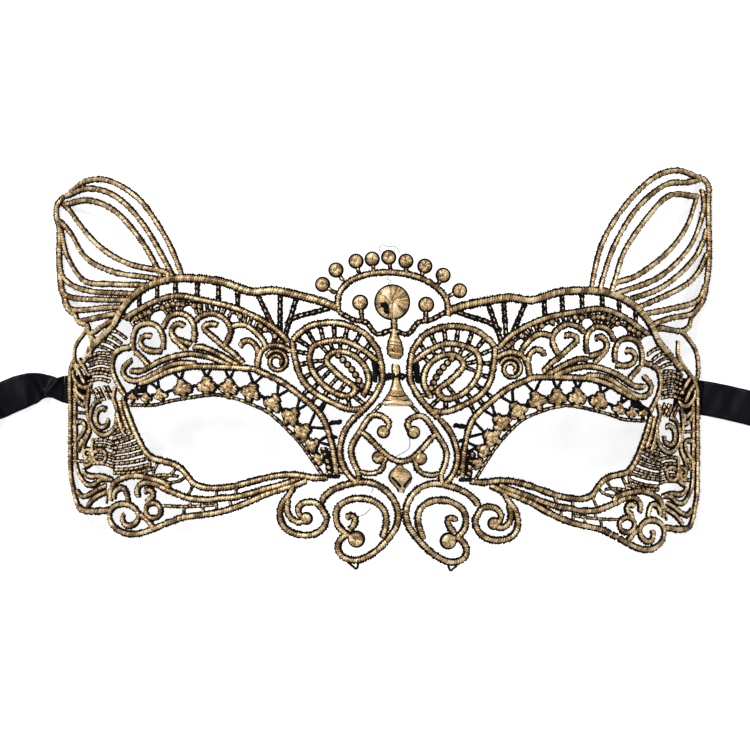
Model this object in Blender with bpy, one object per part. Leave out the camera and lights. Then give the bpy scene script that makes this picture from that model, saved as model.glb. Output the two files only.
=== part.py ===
"""Lace cat-ear half mask lying face up on a table, with a satin tie at each side.
Sizes in the tables are millimetres; everything is made in metres, +Z up, +Y towards the forehead."""

import math

import bmesh
import bpy
import numpy as np
from mathutils import Vector

# Driving dimensions, in millimetres
dome_half_width = 97.5  # half width of the ellipse that the front of the lace follows
dome_depth = 66.0  # half height of that ellipse
landing = 0.9282 * dome_half_width  # distance from the middle at which the ellipse meets the landing
landing_softness = 3.0  # how gently the sides run out on to the table
lace_clearance = 1.0  # height of the lowest lace above the table
nose_rise = 6.0  # extra height over the bridge of the nose
nose_width = 15.0
side_fall = 0.00004  # how much lower the lace lies for each square millimetre of distance from the brow
middle = 2.6  # from the middle of the whole piece to the crown's centre line
forward = -0.55  # moves the lace so that its box has the origin under its middle
side_drop = 0.061  # the right half lies lower by this share of its distance out
cord_width = 1.9
light_cord_width = 1.5
cord_height = 1.3
bar_width = 1.0
bar_height = 0.9
height_step = 0.02  # each crossing cord is this much taller than the last, so that no two tops coincide
edge_width = 1.2
gap = 0.3  # clearance between neighbouring motifs
knot_radius = 2.1
knot_height = 2.0
bead_radius = 1.75
ribbon_width = 10.0
ribbon_thickness = 0.5
ribbon_gap = 0.4
tab_length = 8.0
tab_thickness = 0.6
roll_radius = 20.0  # to the middle of the ribbon's outermost turn
roll_core = 6.5
roll_slack = 0.5  # room for the looseness of the turns, inside and outside
twist_length = 20.0  # over which the ribbon turns from lying flat to standing on edge
longest_step = 5.0
sharpest_turn = math.radians(26)
sharpest_shading = math.radians(40)

gold = (0.62, 0.44, 0.22, 1)
black = (0.012, 0.011, 0.016, 1)

# ---- the form ----
across_x = np.linspace(-130, 130, 5201)


def profile(x):
    """Height of the lace over the table along the brow."""
    inside = np.clip(1 - (x / dome_half_width) ** 2, 0, None)
    foot = math.sqrt(1 - (landing / dome_half_width) ** 2)
    raw = dome_depth * (np.sqrt(inside) - foot)
    return 0.5 * (raw + np.sqrt(raw * raw + landing_softness**2))


around_u = np.concatenate([[0], np.cumsum(np.hypot(np.diff(across_x), np.diff(profile(across_x))))])
around_u -= np.interp(0, across_x, around_u)


def height(x, y):
    bridge = 1 / (1 + math.exp((y + 12) / 6))
    rise = nose_rise * math.exp(-((x / nose_width) ** 2)) * bridge
    return float(profile(np.float64(x))) * (1 - side_fall * (y + 4) ** 2) + lace_clearance + rise


def flat(point):
    """A point seen from the front, as a place in the lace laid flat."""
    return np.interp(point[0] + middle, across_x, around_u), point[1]


def formed(u, v, h):
    """A point of the flat lace, h above its back, on the form. In metres."""
    x, y, step = float(np.interp(u, around_u, across_x)), v, 0.05
    dx = (height(x + step, y) - height(x - step, y)) / (2 * step)
    dy = (height(x, y + step) - height(x, y - step)) / (2 * step)
    normal = Vector((-dx, -dy, 1)).normalized()
    return (Vector((x, y + forward, height(x, y))) + normal * h) * 0.001


def leaning(x, y):
    """How far right of the even position a point lies."""
    g = max(0.0, 1 - (x / dome_half_width) ** 2)
    return -2.6 + g * (2.9 + 0.04 * g * (18 - y))


def mirrored(point):
    """The same place on the right half."""
    x, y = point[0], point[1]
    low = y + side_drop * x
    return (-x + 2 * leaning(x, (y + low) / 2), low, *point[2:])


def centred(point):
    """A place given from the centre line of the even mask."""
    x, y = point
    return x + leaning(x, y), y - side_drop / 2 * x


# ---- curves ----
def spline(points, closed=False, spacing=0.4):
    """A dense smooth line through the points."""
    p = np.array([q[:2] for q in points], float)
    if len(p) == 2:
        return p
    p = np.vstack([p[-1], p, p[:2]]) if closed else np.vstack([2 * p[0] - p[1], p, 2 * p[-1] - p[-2]])
    line = []
    for a, b, c, d in zip(p, p[1:], p[2:], p[3:]):
        steps = max(2, int(np.linalg.norm(c - b) / spacing))
        for t in np.arange(steps) / steps:
            curve = 2 * b + (c - a) * t + (2 * a - 5 * b + 4 * c - d) * t**2 + (3 * b - a - 3 * c + d) * t**3
            line.append(0.5 * curve)
    if not closed:
        line.append(p[-2])
    return np.array(line)


def thinned(line, closed=False):
    """The points of a dense line that its bends need."""
    kept, run = [0], 0.0
    heading = math.atan2(*(line[1] - line[0])[::-1])
    for i in range(1, len(line) - 1):
        run += np.linalg.norm(line[i] - line[i - 1])
        now = math.atan2(*(line[i + 1] - line[i])[::-1])
        turn = abs((now - heading + math.pi) % (2 * math.pi) - math.pi)
        if turn > sharpest_turn or run > longest_step:
            kept.append(i)
            heading, run = now, 0.0
    if not closed:
        kept.append(len(line) - 1)
    return line[kept]


def ring(x, y, radius, count=9):
    angles = np.arange(count) * 2 * math.pi / count
    return [(x + radius * math.cos(t), y + radius * math.sin(t)) for t in angles]


def spiral(x, y, outer, inner, start, turns):
    """Points of a spiral that winds inwards anticlockwise."""
    ts = np.linspace(0, 1, int(9 * abs(turns)) + 1)
    return [
        (
            x + (outer + (inner - outer) * t) * math.cos(start + 2 * math.pi * turns * t),
            y + (outer + (inner - outer) * t) * math.sin(start + 2 * math.pi * turns * t),
        )
        for t in ts
    ]


# ---- solids ----
def new_object(name, mesh):
    obj = bpy.data.objects.new(name, mesh)
    bpy.context.scene.collection.objects.link(obj)
    return obj


def strip(points, width, tall, closed=False, grow=0.0):
    """A cord in the flat lace: a low trapezoid carried along the line, as an object."""
    line = np.array([flat(p) for p in thinned(spline(points, closed), closed)])
    if closed:
        before, after = np.roll(line, 1, 0), np.roll(line, -1, 0)
    else:
        before, after = np.vstack([line[0], line[:-1]]), np.vstack([line[1:], line[-1]])
    along = after - before
    along /= np.linalg.norm(along, axis=1)[:, None]
    side = np.stack([-along[:, 1], along[:, 0]], 1)
    if grow and not closed:
        line = line.copy()
        line[0] -= along[0] * grow
        line[-1] += along[-1] * grow
    half, top = width / 2 + grow, width * 0.33 + grow
    low, high = (-1.0, tall + 3.0) if grow else (0.0, tall)
    mesh = bmesh.new()
    rings = []
    for p, s in zip(line, side):
        corners = ((-half, low), (half, low), (top, high), (-top, high))
        rings.append([mesh.verts.new((*(p + s * a), b)) for a, b in corners])
    pairs = list(zip(rings, rings[1:] + rings[:1])) if closed else list(zip(rings, rings[1:]))
    for r, q in pairs:
        for i in range(4):
            j = (i + 1) % 4
            mesh.faces.new((r[i], r[j], q[j], q[i]))
    if not closed:
        mesh.faces.new(rings[0][::-1])
        mesh.faces.new(rings[-1])
    bmesh.ops.recalc_face_normals(mesh, faces=mesh.faces)
    data = bpy.data.meshes.new("strip")
    mesh.to_mesh(data)
    mesh.free()
    return new_object("strip", data)


def dome(x, y, radius, tall, grow=0.0, sides=8):
    """A knot or a bead in the flat lace, as an object."""
    u, v = flat((x, y))
    low = -1.0 if grow else 0.0
    rings = [(1.0, low), (1.0, tall * 0.35), (0.62, tall * 0.85)]
    angles = np.arange(sides) * 2 * math.pi / sides
    mesh = bmesh.new()
    rows = []
    for share, z in rings:
        r = radius * share + grow
        rows.append([mesh.verts.new((u + r * math.cos(t), v + r * math.sin(t), z)) for t in angles])
    for a, b in zip(rows, rows[1:]):
        for i in range(sides):
            j = (i + 1) % sides
            mesh.faces.new((a[i], a[j], b[j], b[i]))
    mesh.faces.new(rows[0][::-1])
    tip = mesh.verts.new((u, v, tall + (3 if grow else 0)))
    for i in range(sides):
        mesh.faces.new((rows[-1][i], rows[-1][(i + 1) % sides], tip))
    bmesh.ops.recalc_face_normals(mesh, faces=mesh.faces)
    data = bpy.data.meshes.new("dome")
    mesh.to_mesh(data)
    mesh.free()
    return new_object("dome", data)


def plate(points, tall, grow=0.0):
    """A flat piece of the given outline in the flat lace, as an object."""
    line = thinned(spline(points, True), True)
    if grow:
        centre = line.mean(0)
        away = line - centre
        line = line + away / np.linalg.norm(away, axis=1)[:, None] * grow
    spots = [flat(p) for p in line]
    low, high = (-1.0, tall + 3.0) if grow else (0.0, tall)
    mesh = bmesh.new()
    bottom = [mesh.verts.new((*p, low)) for p in spots]
    top = [mesh.verts.new((*p, high)) for p in spots]
    for i in range(len(spots)):
        j = (i + 1) % len(spots)
        mesh.faces.new((bottom[i], bottom[j], top[j], top[i]))
    mesh.faces.new(bottom[::-1])
    mesh.faces.new(top)
    bmesh.ops.recalc_face_normals(mesh, faces=mesh.faces)
    data = bpy.data.meshes.new("plate")
    mesh.to_mesh(data)
    mesh.free()
    return new_object("plate", data)


def paint(obj, colour, roughness):
    material = bpy.data.materials.new(obj.name)
    material.use_nodes = True
    shader = material.node_tree.nodes["Principled BSDF"]
    shader.inputs["Base Color"].default_value = colour
    shader.inputs["Roughness"].default_value = roughness
    material.diffuse_color = colour
    obj.data.materials.clear()
    obj.data.materials.append(material)
    obj.data.shade_smooth()
    obj.data.set_sharp_from_angle(angle=sharpest_shading)


def gather(name, objects):
    """A hidden collection of helpers."""
    group = bpy.data.collections.new(name)
    bpy.context.scene.collection.children.link(group)
    for obj in objects:
        bpy.context.scene.collection.objects.unlink(obj)
        group.objects.link(obj)
    return group


def combine(obj, group, operation):
    cut = obj.modifiers.new(operation, "BOOLEAN")
    cut.operation, cut.solver, cut.operand_type = operation, "EXACT", "COLLECTION"
    cut.collection = group
    cut.use_self = operation == "UNION"
    bpy.context.view_layer.update()
    mesh = bpy.data.meshes.new_from_object(obj.evaluated_get(bpy.context.evaluated_depsgraph_get()))
    obj.modifiers.clear()
    obj.data = mesh


def largest_body(mesh):
    """Leaves only the largest closed skin, so that no crumb of a trimmed end stays."""
    found, best = set(), []
    for start in mesh.faces:
        if start in found:
            continue
        island, todo = [], [start]
        found.add(start)
        while todo:
            face = todo.pop()
            island.append(face)
            for edge in face.edges:
                for other in edge.link_faces:
                    if len(edge.link_faces) == 2 and other not in found:
                        found.add(other)
                        todo.append(other)
        if len(island) > len(best):
            best = island
    keep = set(best)
    bmesh.ops.delete(mesh, geom=[face for face in mesh.faces if face not in keep], context="FACES")


built = {}


def motif(name, shapes, clear_of=(), colour=gold, roughness=0.4):
    """One sub-part: its shapes joined in the flat, cut clear of its neighbours, then bent to the form.
    A shape is a function that makes its object, fattened by grow."""
    objects = [shape(0.0) for shape in shapes]
    obj = objects[0]
    if len(objects) > 1:
        group = gather(name, objects[1:])
        combine(obj, group, "UNION")
        for other in list(group.objects):
            bpy.data.objects.remove(other)
        bpy.data.collections.remove(group)
    cutters = [shape(gap) for neighbour in clear_of for shape in built[neighbour]]
    if cutters:
        group = gather(name, cutters)
        combine(obj, group, "DIFFERENCE")
        for other in list(group.objects):
            bpy.data.objects.remove(other)
        bpy.data.collections.remove(group)
    mesh = bmesh.new()
    mesh.from_mesh(obj.data)
    bmesh.ops.remove_doubles(mesh, verts=mesh.verts, dist=0.004)
    bmesh.ops.dissolve_degenerate(mesh, edges=mesh.edges, dist=0.004)
    largest_body(mesh)
    bmesh.ops.triangulate(mesh, faces=mesh.faces)
    for v in mesh.verts:
        v.co = formed(*v.co)
    bmesh.ops.recalc_face_normals(mesh, faces=mesh.faces)
    mesh.to_mesh(obj.data)
    mesh.free()
    obj.name = name
    obj.data.name = name
    paint(obj, colour, roughness)
    built[name] = shapes
    return obj


def cord(points, closed=False, width=cord_width, tall=cord_height):
    return lambda grow: strip(points, width, tall, closed, grow)


def bar(points, tall=bar_height):
    return lambda grow: strip(points, bar_width, tall, False, grow)


def knot(point, radius=knot_radius, tall=knot_height):
    return lambda grow: dome(*point, radius, tall, grow)


def panel(points, tall=cord_height):
    return lambda grow: plate(points, tall, grow)


# ---- the lines of the lace, in millimetres from the crown's centre, as laid ----
ear_ribs_left = [
    [(-94.8, 49.3), (-89, 53.4), (-81.5, 53.7), (-72.5, 48.1), (-65, 37.4), (-60.6, 27.6)],
    [(-94.3, 49.6), (-87.3, 51.6), (-79.2, 49), (-71.3, 40.9), (-63.5, 27.6)],
    [(-94.8, 47.2), (-87.3, 48.1), (-79.8, 45), (-72.5, 37.1), (-67, 27.8)],
    [(-95.4, 47.6), (-89.9, 40.9), (-83.5, 34.2), (-75.4, 29.6), (-65, 27.2)],
    [(-96.6, 42.6), (-92.5, 38.3), (-88.2, 31.6), (-79.8, 27.3), (-68.2, 25.4)],
    [(-96, 40), (-93.7, 31.6), (-88.7, 24.9), (-80, 23.8), (-71.5, 23.5)],
    [(-96.6, 34.8), (-94.8, 25.5), (-87.3, 22), (-74, 21)],
    [(-96.3, 26.7), (-94, 20.6), (-82.9, 19.4), (-75, 19.2)],
    [(-95.1, 20.9), (-92.2, 16.6), (-81.5, 17.1), (-77, 17.2)],
    [(-91.4, 15.7), (-90.5, 13.3), (-85, 14.2), (-79.6, 15.2)],
    [(-87.3, 9.5), (-85.8, 10), (-83.5, 11.6), (-80.6, 13.2)],
]
ear_rim_left = [
    (-94.8, 49.6), (-96.9, 47), (-97.2, 43.8), (-96.4, 40), (-96.3, 34.2), (-96.3, 27.6), (-95.1, 20.9),
     (-94, 17.1), (-91.4, 15.2), (-90.3, 13.1), (-87.6, 12), (-87.3, 9.2),
]
ear_leaf_left = [(-87.3, 11.6), (-91.1, 6.4), (-91.6, 2.6), (-90.2, 0.2), (-86.4, 4.9), (-86.8, 8.8)]
ear_ribs_right = [
    [(57.4, 24.5), (60.3, 35.7), (66.7, 46.1), (74.8, 54.2), (82.1, 56.8), (89.6, 54.8)],
    [(60, 24.1), (63.8, 35), (70.5, 45.8), (78.6, 52.5), (84.9, 53.4), (89.6, 54.4)],
    [(63.8, 24.7), (67, 33.9), (74, 43.8), (80.3, 49.6), (89, 49.3)],
    [(88.5, 50), (85.3, 41.2), (79.8, 33.6), (70.5, 26.4), (64, 24)],
    [(89.9, 51.6), (90.2, 45), (86.4, 35.4), (77.1, 26.1), (64.7, 21.2)],
    [(91.2, 40), (90, 36), (86.7, 30.7), (78, 23.2), (68.2, 19.4)],
    [(91.5, 33), (88.2, 27), (83.8, 23.2), (71.3, 17.4)],
    [(91, 24), (87.9, 19), (80.3, 16.8), (73.4, 15.4)],
    [(89.6, 18.6), (86.4, 15.4), (80.6, 14.2), (76.3, 12.8)],
    [(86.4, 12.2), (83.8, 10.4), (80.3, 10.7), (77.1, 11.2)],
]
ear_rim_right = [
    (89.6, 55.2), (91.7, 52.5), (91.7, 47.3), (91.8, 40), (91.9, 31.6), (91.2, 24.7), (89.9, 19.1),
     (87.6, 15.7), (86.4, 14.2), (85.6, 11.6), (83.2, 9.9),
]
ear_leaf_right = [(83.4, 10.6), (87.4, 5.6), (88.6, 0.4), (87.6, -3.6), (82.8, 2.4), (82.4, 7.6)]
ear_lines_left = (ear_ribs_left, ear_rim_left, ear_leaf_left)
ear_lines_right = (ear_ribs_right, ear_rim_right, ear_leaf_right)
top_cord_left = [
    (-87.6, 4.2), (-83.8, 8.1), (-80, 11.9), (-76.6, 17.7), (-71, 22.6), (-63.5, 25.2), (-55.1, 25.2),
     (-47.9, 24.1), (-40.3, 21.5), (-33.6, 21.8), (-26.4, 20.3), (-20, 18.6), (-15.4, 16.8),
]
brow_top_left = [
    (-76.6, 14), (-74.5, 15.1), (-68.2, 18.6), (-61.5, 20.3), (-54.2, 19.1), (-45.8, 17.1), (-39.4, 14.5),
     (-33.4, 11), (-29.3, 7),
]
rungs_left = [
    [(-78.4, 14.6), (-74.5, 14.4)],
    [(-72.5, 21.9), (-72.5, 16)],
    [(-67.3, 24.4), (-67.3, 18.7)],
    [(-62, 25.2), (-62, 20.2)],
    [(-55.7, 25.2), (-55.7, 19.3)],
    [(-49.6, 24.4), (-49.6, 18)],
    [(-44.1, 22.8), (-44.1, 16.4)],
    [(-38.9, 21.7), (-33.8, 11.2)],
    [(-31.9, 21.6), (-32, 10)],
    [(-27, 20.6), (-30.6, 8.6)],
    [(-30.6, 12), (-27.3, 14.2), (-20.9, 15.9), (-17.5, 16.9)],
]
brow_cords_left = [
    [(-74, 4.6), (-74.3, 7.4), (-73.8, 10), (-72.6, 11.8), (-70.2, 12.5), (-67.8, 12), (-66.1, 10.2),
     (-65.4, 7.6), (-65.6, 5)],
    [(-68.8, 8.8), (-70.8, 8.9), (-72, 7.8), (-71.9, 6.4), (-70.6, 5.1), (-68.4, 4.5), (-65.6, 4.6)],
    [(-65.6, 11.2), (-63.8, 14.2), (-61.2, 15.3), (-58.6, 14.6), (-56.9, 12.6), (-56.4, 9.6), (-56.7, 7)],
    [(-59.2, 11.6), (-61, 12.4), (-62.7, 11.2), (-62.9, 9.4), (-61.6, 8), (-59.4, 7.2), (-57.2, 6.4)],
    [(-63, 8.8), (-61, 6.8), (-58.6, 4.6)],
    [(-56.2, 13), (-54.4, 14.6), (-51.2, 15.3), (-48.8, 14.4), (-47, 12.9), (-46, 10.8), (-46.4, 8.6),
     (-47.8, 6)],
    [(-49.6, 11.9), (-51.6, 12.3), (-53.4, 11.8), (-53.4, 10.6), (-50.6, 8.1), (-48.2, 6), (-45.2, 3.8),
     (-42.4, 1)],
    [(-75.2, -1.1), (-72, -1.2), (-69.5, -0.1), (-66.4, 1.6), (-62.6, 2.9), (-59.6, 3.5), (-56.8, 3.7),
     (-52.5, 2.9), (-49, 1.6), (-46, 0.4)],
    [(-57, 5.6), (-54.3, 5.6), (-51.2, 4.5), (-48.2, 3), (-45.6, 1.4), (-43.6, 0.6)],
    [(-45.8, 11.5), (-43.8, 12), (-41.6, 11.8), (-39.8, 10.7), (-38, 9), (-36.6, 7.2), (-36.1, 5.8)],
    [(-43.4, 5.6), (-42.6, 7), (-40.9, 7.5), (-39.2, 6.4), (-38.2, 4.4), (-38.3, 1.6), (-38.5, -0.4)],
    [(-79, 4.2), (-77.4, 5.3), (-75.4, 5.6), (-74.2, 6.6)],
    [(-74.5, 2.1), (-76.2, 0.6), (-77.2, -1), (-76.6, -2.8), (-74.8, -3.9), (-72.4, -3.9), (-70, -2.9),
     (-67, -1.4), (-63.6, 0.4), (-60.4, 1.1), (-56, 0.9)],
    [(-73.8, 4.6), (-71.8, 2.8), (-69.8, 0.6)],
    [(-78, 5.2), (-79.4, 4), (-80.2, 2), (-80.3, -0.6), (-79.6, -3), (-78.4, -5.4), (-77.2, -7.4),
     (-76.2, -8.6)],
    [(-38.4, -0.4), (-38, 2.6), (-37, 4.8), (-35, 6), (-32.5, 6.1), (-30.1, 5.3), (-28.7, 4.2)],
]
brow_net_left = [
    [(-77, 4.8), (-76, 9.4), (-72.4, 14.6)],
    [(-74, 7.8), (-77.4, 12.6)],
    [(-69.5, 11.9), (-70, 16.6)],
    [(-65.8, 10.6), (-66.4, 18)],
    [(-61.4, 15), (-61.8, 19.4)],
    [(-56.8, 12.8), (-57, 18.4)],
    [(-52, 15), (-51, 18)],
    [(-47, 12.8), (-45, 16)],
    [(-42, 11.9), (-40.6, 14.2)],
    [(-37.4, 9.8), (-36, 11.8)],
    [(-60, 4.8), (-61, 0.4)],
    [(-53, 5.6), (-54, 0.6)],
    [(-78, -4), (-74, -3.8)],
]
rosette_centre = (-32.8, 1.5)
brow_cord_left = [
    (-72.4, -4.9), (-69.9, -4.2), (-67.2, -2.9), (-64.5, -1.6), (-61.9, -0.8), (-59.2, -0.2),
     (-56.5, 0.2), (-53.9, 0.1), (-48.2, 0), (-42.8, -0.3), (-39.2, -0.7), (-37.4, -1.5), (-34.6, -2.7),
     (-31.6, -4.2), (-28.6, -6.3), (-25.6, -8.7), (-22.6, -11.2), (-20.2, -13.8), (-18.4, -17.5),
     (-17, -22.4),
]
knots_left = [
    (-74.2, -8.6), (-70.4, -8.9), (-66.2, -8.1), (-59.8, -6.2), (-52.9, -5.5), (-46.6, -6), (-40.2, -7.2),
     (-34, -10.5), (-28.9, -14.2), (-25.6, -18.6), (-22.8, -22.4), (-20.8, -26.2),
]
knot_shares = ([0, 2, 3, 9, 11], [0.6, 0.7, 1, 1, 0.65])  # knots from the temple, share of the radius
eye_top_left = [
    (-75.6, -10.9), (-68.2, -10.9), (-62.6, -9.6), (-51.6, -8), (-45.5, -8.8), (-39.4, -11),
     (-34.2, -13.8), (-26.7, -21.2), (-19.6, -31),
]
paisley_left = [
    [(-28.4, 7.3), (-27.8, 2.9), (-25.8, -3.2), (-21.8, -7.5), (-14.5, -11.3), (-10.6, -12.2)],
    [(-28.4, 7.3), (-26.7, 9.3), (-22.6, 11.9), (-15.4, 12.5), (-8.4, 9.9), (-4.6, 5.5), (-3.4, -0.6),
     (-4.6, -6.1), (-7.5, -11.3), (-10.2, -14.2)],
    [(-4, 1.4), (-8.4, 4.9), (-14.5, 7.5), (-21.5, 6.4), (-23.5, 3.2), (-22.3, -1.7), (-18, -6.4),
     (-12.8, -8.4), (-10.4, -6.2), (-14.5, -2.9), (-18.6, 1.5), (-16.5, 4.2), (-11.9, 3.7), (-8, 0.4),
     (-6.6, -4.1), (-8.4, -8.6)],
]
paisley_bars_left = [
    [(-27.6, 4), (-23, 4)],
    [(-26.4, -1), (-22.4, -1.6)],
    [(-22.6, -6.4), (-19.4, -4.4)],
    [(-16, -10.4), (-15, -7.6)],
    [(-19, 12.2), (-18.6, 7)],
]
cheek_left = [
    [(-77, -9.6), (-76.2, -12), (-73.9, -18), (-72, -21.9), (-70.4, -24.5), (-68.4, -26.2),
     (-65.9, -26.9), (-62.8, -27.7), (-60.6, -28.9), (-58.6, -31), (-56.7, -33.3), (-53.4, -34.5),
     (-49.9, -34.6), (-45.3, -34.1), (-40, -32.7), (-36.9, -31.9), (-33.8, -31.2), (-30.7, -30.8),
     (-27.6, -30.8), (-25.1, -31.1), (-22, -31.6), (-18, -31.5)],
    [(-72.6, -37.6), (-73, -35.8), (-72.4, -34.1), (-71, -33.3), (-69.2, -33.3), (-66.9, -33.9),
     (-64.7, -35), (-60, -36.9), (-57.2, -37.7), (-52.4, -38), (-49.3, -37.5), (-45, -37.2), (-40, -36),
     (-36.9, -35), (-33.8, -34.2), (-30.4, -33.2), (-27, -32)],
    [(-65.3, -45), (-62.8, -44.2), (-60, -43.1), (-54.4, -42.3), (-49.9, -41.6), (-45.6, -40.4),
     (-41, -38.6), (-36.9, -36.7), (-33.8, -35.6), (-30.7, -34.6), (-27.4, -33.6), (-24.2, -32.3)],
    [(-80.8, -38.6), (-80.8, -36.2), (-80.1, -34), (-78.4, -32.5), (-75.9, -31.5), (-73.1, -31.2),
     (-70.6, -31.6), (-68.1, -32.2), (-65.3, -33.1), (-63.6, -34.6)],
]
cheek_bars_left = [
    [(-66.1, -39.8), (-60, -40), (-54.2, -39.8), (-50, -39.4)],
    [(-58, -37.3), (-57.7, -40)],
    [(-59.4, -40), (-59.8, -42.8)],
    [(-54.2, -38), (-54, -42.2)],
    [(-50.4, -37.8), (-50, -41.4)],
    [(-46.4, -37.6), (-46, -40.4)],
    [(-42, -36.6), (-41.4, -38.6)],
    [(-50, -34.8), (-50.4, -37.6)],
    [(-44.4, -34), (-44.8, -37)],
    [(-38, -35.4), (-37.6, -36.8)],
    [(-67, -27.4), (-68.4, -30.2), (-67.9, -32)],
    [(-61.6, -28.8), (-63.6, -31), (-66, -32.2)],
    [(-58.9, -31.2), (-60.6, -32.5), (-63.4, -33.2), (-65.3, -33.1)],
    [(-56.8, -33.6), (-58.4, -36.9)],
    [(-68, -31.2), (-64.4, -31), (-61, -31.4)],
    [(-70.6, -24.8), (-69.4, -28), (-71, -31)],
]
jaw_left = [
    [(-65.3, -45.1), (-67.5, -46.1), (-69.8, -47), (-72.4, -47.8), (-75.3, -48), (-78.1, -47.2),
     (-80.3, -45.5), (-81.2, -43.2), (-80.8, -41.2), (-79.2, -39.8), (-76.7, -39.4), (-74.5, -40.1),
     (-72.9, -41.8), (-72.8, -43.6), (-73.9, -45.1), (-75.4, -45.7), (-76.8, -45.2), (-77.4, -43.6),
     (-76.9, -42.2)],
    [(-79.9, -38), (-79.6, -36.2), (-78.2, -34.9), (-76.8, -35.1), (-76, -36.8), (-75.6, -39)],
    [(-71.1, -36), (-69.8, -35.2), (-68.5, -36), (-68.6, -37.4), (-69.8, -38.2), (-70.2, -39.4)],
]
jaw_ring = (-68.4, -41.2)
side_left = [
    [(-91.6, 2), (-92.8, -1), (-93, -6), (-92.9, -12), (-92.9, -20), (-92.8, -30.8), (-92, -35),
     (-91.2, -38.4), (-90.2, -40.6), (-88.4, -41.5), (-85.4, -41.6), (-81.4, -41.3)],
]
side_bars_left = [
    [(-90.2, -39.9), (-85.3, -35.7), (-81.6, -35.6)],
    [(-87.6, -42.2), (-83.5, -38.6), (-81.8, -38.6)],
    [(-92.9, -32), (-86, -30.4), (-79, -31.6)],
]
temple_left = [
    [(-92, -1), (-91.6, -3.4), (-89.6, -5.6), (-87.4, -5.8), (-86.4, -4.6)],
    [(-82, -12.4), (-83.4, -11.9), (-84.8, -13.2), (-85, -15.6), (-83.8, -17.4), (-82, -16.8),
     (-81.4, -14.8)],
    [(-79.5, -5.8), (-80, -9), (-79, -12), (-79, -15.4), (-80.2, -18.2), (-82.6, -19.6), (-85, -18.6),
     (-86.6, -16), (-86.6, -13), (-85.4, -10.4), (-83.4, -9.4)],
    [(-91, -5.6), (-90.8, -9), (-88.6, -11), (-88.2, -8)],
    [(-91.6, -16.6), (-90.2, -15.4), (-88.4, -16), (-88, -18.4), (-89.4, -19.8), (-90.6, -18.4)],
    [(-91.2, -4), (-91.4, -12), (-91.2, -20), (-91.2, -26.6), (-90.6, -30), (-89.5, -32.2),
     (-87.9, -33.9), (-85.6, -33.9), (-83.7, -32.4), (-81.2, -32.3)],
    [(-87.2, -6.2), (-87.8, -12), (-87, -18), (-88.6, -22), (-88.8, -25), (-88, -27.2), (-86.8, -26.4),
     (-87, -24)],
    [(-89, -29.2), (-88.4, -30.8), (-86.5, -31.6), (-83.7, -31.5), (-80.3, -32.6)],
    [(-91, -35.6), (-89.2, -37.4), (-86.6, -36.6), (-84.4, -35.2), (-82, -34.2)],
    [(-87.9, -40.6), (-86.6, -38.9), (-84.6, -37.2), (-82, -36)],
]
temple_bars_left = [
    [(-92.6, -8.6), (-88, -8.4)],
    [(-92.6, -13), (-87.6, -13.4)],
    [(-92.6, -22.6), (-88.4, -21.4)],
    [(-92.6, -27), (-88, -27.4)],
    [(-82.2, -39.4), (-81.6, -35.4)],
]
bow_left = [
    [(-10.3, -14.1), (-12.4, -16.6), (-13.9, -19.4), (-14.7, -22.8), (-14.7, -25.2), (-13.9, -28),
     (-12.6, -30.3), (-11, -32.1)],
    [(-9.5, -31.4), (-9.6, -29.8), (-10.4, -28.2), (-11.3, -25.9), (-11.6, -23.5), (-10.8, -21.2),
     (-9.2, -18.7), (-7.9, -16.5), (-6.6, -14.6), (-5.2, -13.7), (-3.2, -14), (-1.5, -15.2), (-1, -16.8),
     (-2.2, -18.4)],
]
nose_scroll_left = [
    [(-19.9, -38.6), (-19.5, -37.3), (-18.6, -36.4), (-17, -35.1), (-14.6, -34), (-12.2, -33.3),
     (-9.8, -32.9), (-7.3, -32.7), (-4.9, -33.3), (-2.8, -34.4), (-0.8, -36.2), (0.6, -38.3),
     (1.5, -40.8), (1.6, -43.2), (1, -45.6), (-0.2, -47.5), (-1.4, -49.1), (-2.9, -50.8), (-4.9, -52.6),
     (-7.3, -54.1), (-9.8, -55), (-12.2, -54.8), (-14.2, -53.8), (-15.3, -52.1), (-15.2, -50.2),
     (-14.1, -48.6), (-12.6, -47.9), (-11, -48.5)],
    [(-12.6, -47.8), (-14.5, -46.2), (-15.6, -44.4), (-15.9, -42), (-15.3, -40), (-13.9, -38.7),
     (-11.7, -37.7), (-9.3, -37.4), (-6.6, -37.7), (-4.2, -38.8), (-2.5, -40.5), (-1.8, -42.4),
     (-1.7, -44.4), (-2.2, -46.8), (-2.9, -48.9)],
    [(-12.9, -43.3), (-12.3, -42.5), (-11.2, -42.4), (-10.4, -43.3), (-10.9, -45), (-12.1, -46.6)],
]
nose_curl_left = [
    [(-28, -34), (-29.5, -36.6), (-31, -38.4), (-31.8, -40.3), (-32, -42.2), (-31.5, -44.4),
     (-30.2, -46.2), (-27.8, -47.5), (-24.7, -48), (-22.1, -47.6), (-20.1, -46.4), (-18.9, -44.6),
     (-18.7, -42.6), (-19.6, -41), (-20.5, -39.6), (-21.8, -38.7), (-23.3, -38.5), (-25, -38.7),
     (-26.2, -39.5), (-26.8, -40.8), (-26.3, -42.2), (-25.2, -43)],
    [(-29.4, -37.6), (-29.9, -39.5), (-29.7, -41.7), (-28.6, -43.3), (-26.9, -44.2), (-25, -44)],
]
crown_arc = [
    (-15.5, 14.8), (-15.7, 18.2), (-14.8, 21.2), (-12.6, 23.6), (-9.8, 25.2), (-5.5, 26.5), (0, 26.9),
     (5.5, 26.3), (9.8, 24.8), (12.6, 23), (14.8, 20.6), (15.6, 18), (15.6, 14.8),
]
crown_base = [
    (-15.2, 15.6), (-11, 13.4), (-7.4, 12.6), (-4.4, 9.4), (0, 10.4), (4.4, 9.4), (7.4, 12.6), (11, 13.4),
     (15.2, 15.6),
]
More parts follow.
